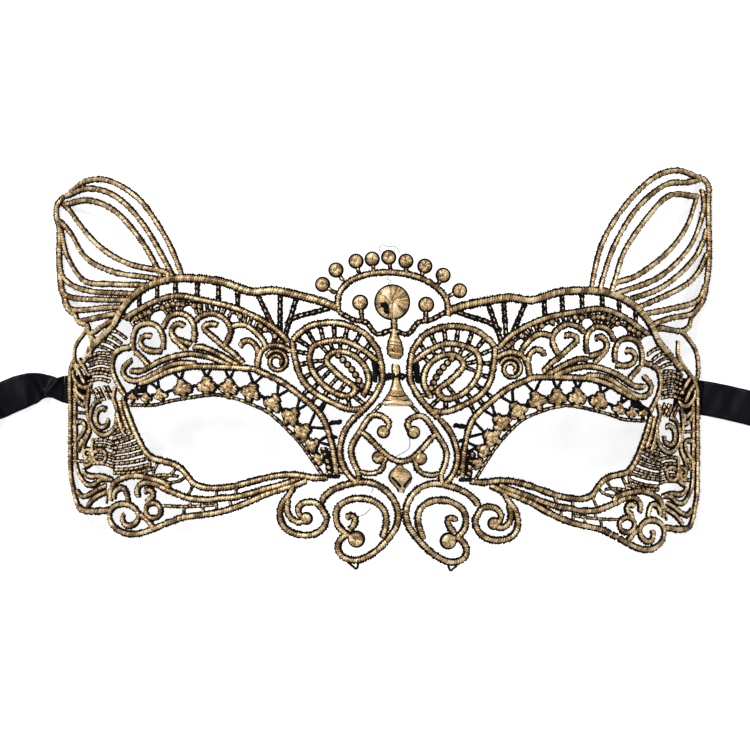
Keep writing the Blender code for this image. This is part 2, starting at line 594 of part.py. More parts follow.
crown_beads = [
    (-19.8, 23.5), (-16, 27.6), (-10.3, 30.1), (-5.7, 30.7), (-1, 31.2), (3.9, 30.1), (9.3, 28.7),
     (14.5, 26.1), (19.2, 21.7),
]
stem_feet = [
    (-16, 20.9), (-13.9, 24.4), (-9.4, 26.4), (-5.2, 26.8), (-0.4, 27.1), (4, 26.8), (8.2, 25.6),
     (12.6, 22.7), (15.1, 19.7),
]
teardrop = [
    (0, 10.4), (0.7, 9.2), (2.1, 6.2), (2.5, 4.2), (1.5, 2.2), (0, 1.7), (-1.5, 2.2), (-2.5, 4.2),
     (-2.1, 6.2), (-0.7, 9.2),
]
bell = [
    (0, 2.4), (1.2, 0.4), (0.9, -2.6), (2, -6), (4.1, -9.6), (3.6, -10.9), (0, -11.2), (-3.6, -10.9),
     (-4.1, -9.6), (-2, -6), (-0.9, -2.6), (-1.2, 0.4),
]
bell_bars = [
    [(0, -2.4), (5.4, -3.2)],
    [(0, -2.4), (-5.4, -3.2)],
]
heart = [
    (-11.2, -18.6), (-9.3, -19.6), (-7, -21.9), (-3.4, -25.4), (0, -26.9), (3.4, -25.9), (6.2, -23.4),
     (8.6, -20.8), (10.6, -18.8),
]
heart_loops = [(-3.6, -25.6), (-4.5, -27.4), (-4.9, -28.9), (-6.6, -30.2), (-9.2, -30.6), (-11, -30)]
pendant = [
    (0, -27), (0.6, -28.9), (1.8, -29.6), (3.2, -31.4), (2.4, -33.6), (0, -34.9), (-2.4, -33.6),
     (-3.2, -31.4), (-1.8, -29.6), (-0.6, -28.9),
]


def both(points, side):
    return points if side == "left" else [mirrored(p) for p in points]


def clear_scene():
    for obj in list(bpy.data.objects):
        bpy.data.objects.remove(obj, do_unlink=True)


def lace_half(side):
    def cords(lines, width=cord_width, tall=cord_height):
        heights = [tall + height_step * i for i in range(len(lines))]
        return [cord(both(line, side), width=width, tall=h) for line, h in zip(lines, heights)]

    def bars(lines):
        return [bar(both(line, side), tall=bar_height + height_step * i) for i, line in enumerate(lines)]

    top, ear = f"top_edge_{side}", f"ear_{side}"
    motif(top, cords([top_cord_left, brow_top_left]) + bars(rungs_left))
    is_left = side == "left"
    ribs, rim, leaf = ear_lines_left if is_left else ear_lines_right
    ear_cords = [cord(line, tall=cord_height + height_step * i) for i, line in enumerate([rim, *ribs])]
    motif(ear, ear_cords + [cord(leaf, width=edge_width)], [top])
    rosette_spot = both([rosette_centre], side)[0]
    rosette = f"rosette_{side}"
    motif(rosette, [cord(spiral(*rosette_spot, 3.4, 1.1, 2.8, -1.6), width=1.2)], [top])
    paisley = f"paisley_{side}"
    motif(paisley, cords(paisley_left) + bars(paisley_bars_left), [top, rosette])
    lower = f"brow_cord_{side}"
    motif(lower, cords([brow_cord_left]), [rosette, paisley])
    trim = f"eye_trim_{side}"
    spots = both(knots_left, side)
    radii = knot_radius * np.interp(range(len(spots)), *knot_shares)
    knots = [knot(p, radius) for p, radius in zip(spots, radii)]
    motif(trim, cords([eye_top_left], width=edge_width, tall=bar_height) + knots, [lower])
    scrolls = f"brow_scrolls_{side}"
    motif(scrolls, cords(brow_cords_left) + bars(brow_net_left), [top, lower, rosette, paisley, trim, ear])
    cheek = f"cheek_{side}"
    motif(cheek, cords(cheek_left) + bars(cheek_bars_left), [trim, scrolls])
    jaw = f"jaw_{side}"
    ring_spot = both([jaw_ring], side)[0]
    motif(jaw, cords(jaw_left) + [cord(ring(*ring_spot, 2.2), True, width=edge_width)], [cheek])
    edge = f"side_edge_{side}"
    motif(edge, cords(side_left) + bars(side_bars_left), [jaw, ear, cheek])
    temple = f"temple_{side}"
    nearby = [edge, scrolls, cheek, top, ear, jaw]
    motif(temple, cords(temple_left, width=light_cord_width) + bars(temple_bars_left), nearby)
    curl = f"nose_curl_{side}"
    motif(curl, cords(nose_curl_left), [cheek])
    scroll = f"nose_scroll_{side}"
    nearby = [curl, cheek] + ([] if is_left else ["nose_scroll_left"])
    link = [bar([(1, -41), (5, -41)])] if is_left else []
    motif(scroll, cords(nose_scroll_left) + link, nearby)
    bow = f"nose_bow_{side}"
    nearby = [scroll, cheek, paisley] + ([] if is_left else ["nose_bow_left"])
    motif(bow, cords(bow_left, width=light_cord_width), nearby)


def lace_centre():
    arc = [centred(p) for p in crown_arc]
    base = [centred(p) for p in crown_base]
    top_edges = ["top_edge_left", "top_edge_right"]
    sides = [*top_edges, "paisley_left", "paisley_right"]
    disc = ring(*centred((0, 18.5)), 4.7, 20)
    motif("medallion", [panel(disc, 1.6)])
    stems = [bar([tip, foot]) for tip, foot in zip(crown_beads, stem_feet)]
    buds = [bar([centred((s * 9.4, 18)), centred((s * 9, 12.8))]) for s in (-1, 1)]
    tops = [knot(centred((s * 9.4, 18)), 1.6, 1.8) for s in (-1, 1)]
    post = [bar([centred((0, 15)), centred((0, 10))])]
    beads = []
    for number, spot in enumerate(crown_beads, 1):
        name = f"crown_bead_{number}"
        motif(name, [knot(spot, bead_radius, 2.4)], top_edges)
        beads.append(name)
    frame = [cord(arc), cord(base, width=edge_width)]
    motif("crown", frame + stems + buds + tops + post, sides + beads + ["medallion"])
    motif("teardrop", [panel([centred(p) for p in teardrop])], ["crown", "paisley_left", "paisley_right"])
    arms = [bar([centred(p) for p in line]) for line in bell_bars]
    motif("bell", [panel([centred(p) for p in bell]), *arms], ["teardrop", "paisley_left", "paisley_right"])
    hearts = [cord([centred(p) for p in heart], width=edge_width)]
    hearts += [cord([centred((s * x, y)) for x, y in heart_loops], width=edge_width) for s in (-1, 1)]
    hearts += [knot(centred((s * 5.9, -25.9)), 1.5, 1.8) for s in (-1, 1)]
    scrolls = ["nose_scroll_left", "nose_scroll_right"]
    motif("heart", hearts, ["nose_bow_left", "nose_bow_right", *scrolls])
    motif("pendant", [panel([centred(p) for p in pendant], 1.8)], ["heart", *scrolls])


# ---- the ties ----
# Each tie's line along the table, in millimetres from the middle of the piece: x, y
tie_route_left = [
    (-92.6, -6.9), (-94.5, -6.7), (-97, -6.2), (-99.5, -6.2), (-102, -6.8), (-105, -7.8), (-108, -9),
    (-111, -10.4),
    (-114, -11.7), (-117, -12.9), (-120, -14.1), (-123, -15.2), (-126, -16.4), (-129, -17.5),
]
tie_route_right = [
    (92.4, -9.2), (94.5, -9.4), (97, -9.8), (99.5, -10.3), (102, -10.9), (105, -11.6), (108, -12.4),
    (111, -13.3),
    (114, -14.2), (117, -15.2), (120, -16.2), (123, -17.3), (126, -18.4), (129, -19.5),
]
tie_routes = {"left": tie_route_left, "right": tie_route_right}


def tie_line(side):
    """Points of the tie up to its roll, in millimetres, with how far each has turned on to its edge."""
    line = spline(tie_routes[side], spacing=0.2)
    left_to_go = np.linalg.norm(line - line[-1], axis=1)
    turned = np.clip((twist_length - left_to_go) / (twist_length - 9), 0, 1)
    return [(x, y, t * t * (3 - 2 * t)) for (x, y), t in zip(line, turned)]


def roll_middle(side):
    """Where the roll's axis stands: beside the end of the line, towards the forehead."""
    a, b = Vector(tie_routes[side][-2]), Vector(tie_routes[side][-1])
    along = (b - a).normalized()
    across = Vector((along.y, -along.x)) if side == "left" else Vector((-along.y, along.x))
    return b + across * roll_radius


def turned_plate(name, sections):
    """A closed body through four-cornered sections, in metres."""
    mesh = bmesh.new()
    rings = [[mesh.verts.new(Vector(c) * 0.001) for c in section] for section in sections]
    for r, q in zip(rings, rings[1:]):
        for i in range(4):
            j = (i + 1) % 4
            mesh.faces.new((r[i], r[j], q[j], q[i]))
    mesh.faces.new(rings[0][::-1])
    mesh.faces.new(rings[-1])
    bmesh.ops.triangulate(mesh, faces=mesh.faces)
    bmesh.ops.recalc_face_normals(mesh, faces=mesh.faces)
    data = bpy.data.meshes.new(name)
    mesh.to_mesh(data)
    mesh.free()
    return new_object(name, data)


def tie(side):
    """The stretch of ribbon from the tab to the roll."""
    centre = roll_middle(side)
    reach = roll_radius + ribbon_thickness / 2 + roll_slack + ribbon_gap
    line = [p for p in tie_line(side) if (Vector(p[:2]) - centre).length > reach]
    line = line[:-1:8] + line[-1:]
    sections = []
    for i, (x, y, turn) in enumerate(line):
        a, b = line[max(0, i - 1)], line[min(len(line) - 1, i + 1)]
        along = Vector((b[0] - a[0], b[1] - a[1] if i else 0, 0)).normalized()
        level = Vector((-along.y, along.x, 0))
        angle = turn * math.pi / 2
        wide = (level * math.cos(angle) + Vector((0, 0, 1)) * math.sin(angle)) * ribbon_width / 2
        thick = (Vector((0, 0, 1)) * math.cos(angle) - level * math.sin(angle)) * ribbon_thickness / 2
        low = abs(wide.z) + abs(thick.z)
        spot = Vector((x, y, low))
        sections.append([spot - wide - thick, spot + wide - thick, spot + wide + thick, spot - wide + thick])
    obj = turned_plate(f"tie_{side}", sections)
    paint(obj, black, 0.3)


def roll(side):
    """The rest of the ribbon, wound on its edge."""
    centre = roll_middle(side)
    outer = roll_radius + ribbon_thickness / 2 + roll_slack
    inner = roll_core - ribbon_thickness / 2 - roll_slack
    mesh = bmesh.new()
    corners = ((inner, 0), (outer, 0), (outer, ribbon_width), (inner, ribbon_width))
    section = [mesh.verts.new((r * 0.001, 0, z * 0.001)) for r, z in corners]
    section += [mesh.edges.new((section[i], section[(i + 1) % 4])) for i in range(4)]
    turn = 2 * math.pi
    bmesh.ops.spin(mesh, geom=section, axis=(0, 0, 1), cent=(0, 0, 0), angle=turn, steps=32)
    bmesh.ops.remove_doubles(mesh, verts=mesh.verts, dist=1e-6)
    bmesh.ops.translate(mesh, verts=mesh.verts, vec=(centre.x * 0.001, centre.y * 0.001, 0))
    bmesh.ops.recalc_face_normals(mesh, faces=mesh.faces)
    data = bpy.data.meshes.new("roll")
    mesh.to_mesh(data)
    mesh.free()
    paint(new_object(f"roll_{side}", data), black, 0.3)


def tab(side):
    """The ribbon's end, folded flat under the edge of the lace."""
    x, y = tie_routes[side][0]
    sign = -1 if side == "left" else 1
    near, far = x - sign * (ribbon_gap + tab_length), x - sign * ribbon_gap
    low, high = y - ribbon_width / 2, y + ribbon_width / 2
    top = tab_thickness
    sections = [[(a, low, 0), (a, high, 0), (a, high, top), (a, low, top)] for a in (near, far)]
    paint(turned_plate(f"tab_{side}", sections), black, 0.35)


clear_scene()
lace_half("left")
lace_half("right")
lace_centre()
for hand in ("left", "right"):
    tab(hand)
    tie(hand)
    roll(hand)
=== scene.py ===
import math

import bmesh
import bpy
import numpy as np
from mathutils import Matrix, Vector


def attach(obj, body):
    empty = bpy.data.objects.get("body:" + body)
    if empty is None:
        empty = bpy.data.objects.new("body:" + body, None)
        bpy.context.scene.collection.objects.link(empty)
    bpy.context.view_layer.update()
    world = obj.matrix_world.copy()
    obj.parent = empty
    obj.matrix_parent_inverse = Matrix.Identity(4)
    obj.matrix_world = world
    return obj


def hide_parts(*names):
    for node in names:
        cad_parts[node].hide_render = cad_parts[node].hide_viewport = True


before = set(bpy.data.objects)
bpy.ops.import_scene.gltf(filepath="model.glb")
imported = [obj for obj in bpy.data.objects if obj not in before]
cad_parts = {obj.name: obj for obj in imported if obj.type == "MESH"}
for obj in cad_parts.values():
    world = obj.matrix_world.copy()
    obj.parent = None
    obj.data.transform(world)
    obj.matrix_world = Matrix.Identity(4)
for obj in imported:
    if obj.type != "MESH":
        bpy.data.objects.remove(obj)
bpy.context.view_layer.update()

mm = 0.001
rng = np.random.default_rng(7)

# the form that the lace keeps, in millimetres
form = {
    "halfWidth": 97.5,  # of the ellipse across the brow
    "depth": 66.0,
    "landing": 90.5,  # where the ellipse meets the table
    "softness": 3.0,
    "clearance": 1.0,
    "noseRise": 6.0,
    "noseWidth": 15.0,
    "sideFall": 0.00004,  # share of the height lost by the square of the distance above or below the middle
    "middle": 2.6,  # from the middle of the whole piece to the crown
    "forward": -0.55,
    "sideDrop": 0.061,  # the right half lies lower by this share of its distance out
}


def profile(x):
    inside = np.clip(1 - (x / form["halfWidth"]) ** 2, 0, None)
    raw = form["depth"] * (np.sqrt(inside) - math.sqrt(1 - (form["landing"] / form["halfWidth"]) ** 2))
    return 0.5 * (raw + np.sqrt(raw * raw + form["softness"] ** 2))


acrossX = np.linspace(-130, 130, 5201)
aroundU = np.concatenate([[0], np.cumsum(np.hypot(np.diff(acrossX), np.diff(profile(acrossX))))])
aroundU -= np.interp(0, acrossX, aroundU)


def heightAt(x, y):
    bridge = 1 / (1 + np.exp((y + 12) / 6))
    rise = form["noseRise"] * np.exp(-((x / form["noseWidth"]) ** 2)) * bridge
    return profile(x) * (1 - form["sideFall"] * (y + 4) ** 2) + form["clearance"] + rise


def laidFlat(points):
    p = np.array([q[:2] for q in points], float)
    return np.stack([np.interp(p[:, 0] + form["middle"], acrossX, aroundU), p[:, 1]], 1)


def formed(co):
    # places in the flat lace (n by 3, millimetres) bent on to the form, in metres
    x, y, h = np.interp(co[:, 0], aroundU, acrossX), co[:, 1], co[:, 2]
    step = 0.05
    dx = (heightAt(x + step, y) - heightAt(x - step, y)) / (2 * step)
    dy = (heightAt(x, y + step) - heightAt(x, y - step)) / (2 * step)
    size = np.sqrt(dx * dx + dy * dy + 1)
    front = y + form["forward"] - dy / size * h
    return np.stack([x - dx / size * h, front, heightAt(x, y) + h / size], 1) * mm


def leaning(x, y):
    # how far the lace's middle line has slipped sideways, most at the nose
    g = max(0.0, 1 - (x / form["halfWidth"]) ** 2)
    return -2.6 + g * (2.9 + 0.04 * g * (18 - y))


def mirrored(point):
    x, y = point[0], point[1]
    low = y + form["sideDrop"] * x
    return (-x + 2 * leaning(x, (y + low) / 2), low, *point[2:])


def centred(point):
    return (point[0] + leaning(*point[:2]), point[1] - form["sideDrop"] / 2 * point[0])


def both(points, side):
    return points if side == "left" else [mirrored(p) for p in points]


def splineThrough(points, closed=False, spacing=0.1):
    p = np.array(points, float)
    if len(p) == 2 and not closed:
        count = max(3, int(np.linalg.norm(p[1] - p[0]) / spacing))
        return p[0] + (p[1] - p[0]) * np.linspace(0, 1, count)[:, None]
    p = np.vstack([p[-1], p, p[:2]]) if closed else np.vstack([2 * p[0] - p[1], p, 2 * p[-1] - p[-2]])
    line = []
    for a, b, c, d in zip(p, p[1:], p[2:], p[3:]):
        t = np.linspace(0, 1, max(3, int(np.linalg.norm(c - b) / spacing)), endpoint=False)[:, None]
        square, cube = 2 * a - 5 * b + 4 * c - d, 3 * b - a - 3 * c + d
        line.append(0.5 * (2 * b + (c - a) * t + square * t**2 + cube * t**3))
    if not closed:
        line.append(p[-2:-1])
    return np.vstack(line)


def evenly(line, step, closed=False):
    # the same line with its points a step apart
    if closed:
        line = np.vstack([line, line[:1]])
    run = np.concatenate([[0], np.cumsum(np.linalg.norm(np.diff(line, axis=0), axis=1))])
    count = max(4, int(round(run[-1] / step)))
    count += (count % 2) if closed else 0
    at = np.linspace(0, run[-1], count + 1)
    made = np.stack([np.interp(at, run, line[:, i]) for i in range(line.shape[1])], 1)
    return made[:-1] if closed else made


def ringOf(x, y, radius, count=12):
    angles = np.arange(count) * 2 * math.pi / count
    return [(x + radius * math.cos(t), y + radius * math.sin(t)) for t in angles]


def spiralOf(x, y, outer, inner, start, turns):
    made = []
    for t in np.linspace(0, 1, int(10 * abs(turns)) + 1):
        r, a = outer + (inner - outer) * t, start + 2 * math.pi * turns * t
        made.append((x + r * math.cos(a), y + r * math.sin(a)))
    return made


camera = {"frame": 217.5, "away": 2400.0, "middleX": -2.3, "middleY": -2.86}  # millimetres
cameraData = bpy.data.cameras.new("camera")
cameraData.sensor_width = 36
cameraData.lens = 36 * camera["away"] / camera["frame"]
cameraData.clip_end = 20
cameraObject = bpy.data.objects.new("camera", cameraData)
bpy.context.scene.collection.objects.link(cameraObject)
cameraObject.location = (camera["middleX"] * mm, camera["middleY"] * mm, camera["away"] * mm)
bpy.context.scene.camera = cameraObject
print("camera placed")


def nodeMaterial(name):
    made = bpy.data.materials.new(name)
    made.use_nodes = True
    tree = made.node_tree
    return made, tree, tree.nodes["Principled BSDF"]


def ramp(tree, stops, source):
    node = tree.nodes.new("ShaderNodeValToRGB")
    elements = node.color_ramp.elements
    for element, (position, colour) in zip(elements, (stops[0], stops[-1])):
        element.position = position
        element.color = (*colour, 1)
    for position, colour in stops[1:-1]:
        elements.new(position).color = (*colour, 1)
    tree.links.new(source, node.inputs["Fac"])
    return node.outputs["Color"]


def maths(tree, operation, a, b):
    node = tree.nodes.new("ShaderNodeMath")
    node.operation = operation
    for socket, value in zip(node.inputs, (a, b)):
        if isinstance(value, (int, float)):
            socket.default_value = value
        else:
            tree.links.new(value, socket)
    return node.outputs[0]


def noise(tree, scale, detail=2.0, roughness=0.5):
    where = tree.nodes.new("ShaderNodeTexCoord")
    node = tree.nodes.new("ShaderNodeTexNoise")
    node.inputs["Scale"].default_value = scale
    node.inputs["Detail"].default_value = detail
    node.inputs["Roughness"].default_value = roughness
    tree.links.new(where.outputs["Object"], node.inputs["Vector"])
    return node.outputs["Fac"]


def attribute(tree, name):
    node = tree.nodes.new("ShaderNodeAttribute")
    node.attribute_name = name
    return node.outputs["Fac"]


def roughen(tree, shader, height, strength, distance):
    bump = tree.nodes.new("ShaderNodeBump")
    bump.inputs["Strength"].default_value = strength
    bump.inputs["Distance"].default_value = distance
    tree.links.new(height, bump.inputs["Height"])
    tree.links.new(bump.outputs["Normal"], shader.inputs["Normal"])


goldThread = {
    "stops": [
        (0.06, (0.010, 0.005, 0.003)),
        (0.28, (0.16, 0.083, 0.026)),
        (0.54, (0.50, 0.322, 0.128)),
        (0.88, (0.98, 0.80, 0.50)),
    ],
    "metallic": 0.35,
    "roughness": 0.42,
    "grain": 2600,
    "patches": 130,
    "toneShare": 0.8,
    "grainShare": 1.3,
    "patchShare": 0.35,
    # how much painted shade darkens the dips between stitches
    "grooveShadeShare": 0.3,
    "darker": 0.585,
}


def goldThreadMaterial():
    made, tree, shader = nodeMaterial("goldThread")
    # tone is each stitch's own shade, and the dip between two stitches is darkened as painted shade
    fine = noise(tree, goldThread["grain"], 3.0, 0.65)
    broad = noise(tree, goldThread["patches"], 2.0)
    mixed = maths(tree, "MULTIPLY", attribute(tree, "tone"), goldThread["toneShare"])
    mixed = maths(tree, "ADD", mixed, maths(tree, "MULTIPLY", fine, goldThread["grainShare"]))
    mixed = maths(tree, "ADD", mixed, maths(tree, "MULTIPLY", broad, goldThread["patchShare"]))
    # painted shade: the dips between stitches are darkened in the gold's colour
    grooveShade = maths(tree, "MULTIPLY", attribute(tree, "grooveShade"), goldThread["grooveShadeShare"])
    mixed = maths(tree, "SUBTRACT", mixed, grooveShade)
    mixed = maths(tree, "SUBTRACT", mixed, goldThread["darker"])
    tree.links.new(ramp(tree, goldThread["stops"], mixed), shader.inputs["Base Color"])
    shader.inputs["Metallic"].default_value = goldThread["metallic"]
    shader.inputs["Roughness"].default_value = goldThread["roughness"]
    roughen(tree, shader, fine, 0.35, 0.0002)
    return made


blackThread = {
    "stops": [(0.35, (0.001, 0.001, 0.002)), (0.66, (0.005, 0.004, 0.006)), (0.86, (0.07, 0.04, 0.02))],
    "roughness": 0.8,
    "specular": 0.06,
    "grain": 2200,
}


def blackThreadMaterial():
    made, tree, shader = nodeMaterial("blackThread")
    fine = noise(tree, blackThread["grain"], 3.0, 0.6)
    tone = maths(tree, "MULTIPLY", attribute(tree, "tone"), 0.35)
    mixed = maths(tree, "ADD", tone, maths(tree, "MULTIPLY", fine, 0.75))
    tree.links.new(ramp(tree, blackThread["stops"], mixed), shader.inputs["Base Color"])
    shader.inputs["Roughness"].default_value = blackThread["roughness"]
    shader.inputs["Specular IOR Level"].default_value = blackThread["specular"]
    roughen(tree, shader, fine, 0.4, 0.0002)
    return made


blackSatin = {
    "stops": [(0.35, (0.0015, 0.0015, 0.003)), (0.75, (0.004, 0.0035, 0.007))],
    "roughness": 0.36,
    "weaveRoughness": 0.22,
    "specular": 0.08,
}


def blackSatinMaterial():
    made, tree, shader = nodeMaterial("blackSatin")
    uv = tree.nodes.new("ShaderNodeUVMap")
    uv.uv_map = "ribbon"
    scaled = tree.nodes.new("ShaderNodeMapping")
    scaled.inputs["Scale"].default_value = (3.2, 0.35, 1)
    tree.links.new(uv.outputs["UV"], scaled.inputs["Vector"])
    weave = tree.nodes.new("ShaderNodeTexNoise")
    weave.inputs["Scale"].default_value = 3.0
    weave.inputs["Detail"].default_value = 4.0
    tree.links.new(scaled.outputs["Vector"], weave.inputs["Vector"])
    woven = weave.outputs["Fac"]
    tree.links.new(ramp(tree, blackSatin["stops"], woven), shader.inputs["Base Color"])
    rough = maths(tree, "MULTIPLY", woven, blackSatin["weaveRoughness"])
    tree.links.new(maths(tree, "ADD", rough, blackSatin["roughness"]), shader.inputs["Roughness"])
    shader.inputs["Specular IOR Level"].default_value = blackSatin["specular"]
    roughen(tree, shader, woven, 0.25, 0.0001)
    return made


materials = {
    "gold_thread": goldThreadMaterial(),
    "black_thread": blackThreadMaterial(),
    "black_satin": blackSatinMaterial(),
}
print("threads and satin mixed")


def finished(name, mesh, slot, replaced=()):
    mesh.name = name
    made = bpy.data.objects.new(name, mesh)
    bpy.context.scene.collection.objects.link(made)
    mesh.materials.clear()
    mesh.materials.append(materials[slot])
    mesh.shade_smooth()
    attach(made, "root")
    if replaced:
        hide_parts(*replaced)
    return made


tie = {
    "width": 10.0,
    "thickness": 0.28,
    "rollRadius": 20.0,
    "rollCore": 6.5,
    "rollPitch": 3.7,
    "twist": 20.0,  # the ribbon turns on edge over this length, up to twistEnd before the roll
    "twistEnd": 9.0,
    "across": 12,
    "selvedge": 0.07,
}
tieRoutes = {  # metres
    "left": [
        (-0.0926, -0.0069), (-0.0945, -0.0067), (-0.097, -0.0062), (-0.0995, -0.0062), (-0.102, -0.0068),
        (-0.105, -0.0078), (-0.108, -0.009), (-0.111, -0.0104), (-0.114, -0.0117), (-0.117, -0.0129),
        (-0.12, -0.0141), (-0.123, -0.0152), (-0.126, -0.0164), (-0.129, -0.0175),
    ],
    "right": [
        (0.0924, -0.0095), (0.0945, -0.0098), (0.097, -0.0103), (0.0995, -0.0108), (0.102, -0.0114),
        (0.105, -0.0121), (0.108, -0.0129), (0.111, -0.0138), (0.114, -0.0147), (0.117, -0.0157),
        (0.12, -0.0167), (0.123, -0.0178), (0.126, -0.0189), (0.129, -0.0200),
    ],
}
# where along the tie, in millimetres, a fold stands up, how high and how wide it is, and its slant
tieFolds = {
    "left": [(3.5, 1.6, 1.1, 0.5), (6.4, 1.3, 1.4, -0.35), (11.5, 0.8, 2.2, 0.25), (17.5, 0.45, 2.6, -0.3)],
    "right": [(6.2, 0.5, 2.0, -0.45), (13.0, 0.45, 2.4, 0.3)],
}
# the share of the full width by millimetres along: the left tie is gathered where it is sewn
tieWidths = {
    "left": ([0, 2.5, 5, 9, 13], [0.78, 0.60, 0.68, 0.92, 1.0]),
    "right": ([0, 2, 4], [1.0, 1.0, 1.0]),
}


def tiePath(side):
    # points (x, y, turn) in millimetres: flat on the table, then on edge in a loose roll
    route = np.array(tieRoutes[side]) * 1000
    line = evenly(splineThrough(route), 0.5)
    toGo = np.linalg.norm(line - line[-1], axis=1)
    turn = np.clip((tie["twist"] - toGo) / (tie["twist"] - tie["twistEnd"]), 0, 1)
    turn = turn * turn * (3 - 2 * turn)
    along = line[-1] - line[-2]
    along /= np.linalg.norm(along)
    spin = 1 if side == "left" else -1
    centre = line[-1] + np.array([along[1], -along[0]]) * spin * tie["rollRadius"]
    start = math.atan2(*(line[-1] - centre)[::-1])
    turns = (tie["rollRadius"] - tie["rollCore"]) / tie["rollPitch"]
    share = np.linspace(0, 1, int(turns * 60))[1:]
    radius = tie["rollRadius"] + (tie["rollCore"] - tie["rollRadius"]) * share
    angle = start - spin * 2 * math.pi * turns * share
    wound = np.stack([centre[0] + radius * np.cos(angle), centre[1] + radius * np.sin(angle)], 1)
    flatPart = np.column_stack([line, turn])
    return np.vstack([flatPart, np.column_stack([wound, np.ones(len(wound))])])


def fold(side, run, s, half):
    # how far the ribbon stands off the table at a place s of the way across
    rise = 0.0
    for at, tall, wideness, slant in tieFolds[side]:
        rise += tall * math.exp(-(((run - at - slant * s * half) / wideness) ** 2))
    rise += 0.22 * (1 + math.sin(run * 0.55 + s * 1.7))
    return rise + 0.1 * (1 + math.sin(run * 1.3 - 2 * s))


def ribbon(side):
    path = tiePath(side)
    run = np.concatenate([[0], np.cumsum(np.linalg.norm(np.diff(path[:, :2], axis=0), axis=1))])
    widths = np.interp(run, *tieWidths[side])
    mesh = bmesh.new()
    uvs = {}
    rows, centreline = [], []
    shares = np.linspace(-1, 1, tie["across"] + 1)
    for i, (x, y, turn) in enumerate(path):
        a, b = path[max(0, i - 1)], path[min(len(path) - 1, i + 1)]
        along = Vector((b[0] - a[0], b[1] - a[1], 0)).normalized()
        level = Vector((-along.y, along.x, 0))
        angle = turn * math.pi / 2
        wide = level * math.cos(angle) + Vector((0, 0, 1)) * math.sin(angle)
        thick = Vector((0, 0, 1)) * math.cos(angle) - level * math.sin(angle)
        half = widths[i] * tie["width"] / 2
        lift = half * abs(wide.z) + tie["thickness"] / 2
        centreline.append((x * mm, y * mm, (lift + 0.1) * mm))
        upper, lower = [], []
        for s in shares:
            rise = fold(side, run[i], s, half) * (1 - turn)
            bead = tie["selvedge"] * math.exp(-(((abs(s) - 0.97) / 0.03) ** 2))
            spot = Vector((x, y, lift)) + wide * (s * half) + Vector((0, 0, rise))
            for row, sign in ((upper, 1), (lower, -1)):
                vert = mesh.verts.new((spot + thick * sign * (tie["thickness"] / 2 + bead)) * mm)
                uvs[vert] = (run[i], s * half)
                row.append(vert)
        rows.append(upper + lower[::-1])
    for r, q in zip(rows, rows[1:]):
        for i in range(len(r)):
            j = (i + 1) % len(r)
            mesh.faces.new((r[i], r[j], q[j], q[i]))
    mesh.faces.new(rows[0][::-1])
    mesh.faces.new(rows[-1])
    bmesh.ops.recalc_face_normals(mesh, faces=mesh.faces)
    layer = mesh.loops.layers.uv.new("ribbon")
    for face in mesh.faces:
        for loop in face.loops:
            loop[layer].uv = uvs[loop.vert]
    data = bpy.data.meshes.new(f"ribbon_{side}")
    mesh.to_mesh(data)
    mesh.free()
    made = finished(f"ribbon_{side}", data, "black_satin", [f"tie_{side}", f"roll_{side}"])
    x, y = tieRoutes[side][0]


ribbon("left")
ribbon("right")
print("ties laid")

stitch = {
    "pitch": 0.74,
    "satinWidth": 1.25,
    "dip": 0.68,  # the width between two stitches
    "groundDip": 0.84,
    "lean": 0.30,
    "leanReach": 0.7,  # past this far from the middle, a stitch leans no further
    "jitter": 0.13,
    "lift": 0.34,
    "edging": 1.15,  # how much wider the black stitches are than the gold
}


def profileObject(name, points):
    data = bpy.data.curves.new(name, "CURVE")
    data.dimensions = "2D"
    spline = data.splines.new("POLY")
    spline.points.add(len(points) - 1)
    for spot, (x, y) in zip(spline.points, points):
        spot.co = (x, y, 0, 1)
    spline.use_cyclic_u = True
    return bpy.data.objects.new(name, data)


satinProfile = [
    (0.5, 0.0), (0.47, 0.26), (0.33, 0.5), (0.12, 0.62),
    (-0.12, 0.62), (-0.33, 0.5), (-0.47, 0.26), (-0.5, 0.0),
]
groundProfile = [(0.5, 0.02), (0.43, 0.2), (0.0, 0.26), (-0.43, 0.2), (-0.5, 0.02), (0.0, -0.03)]


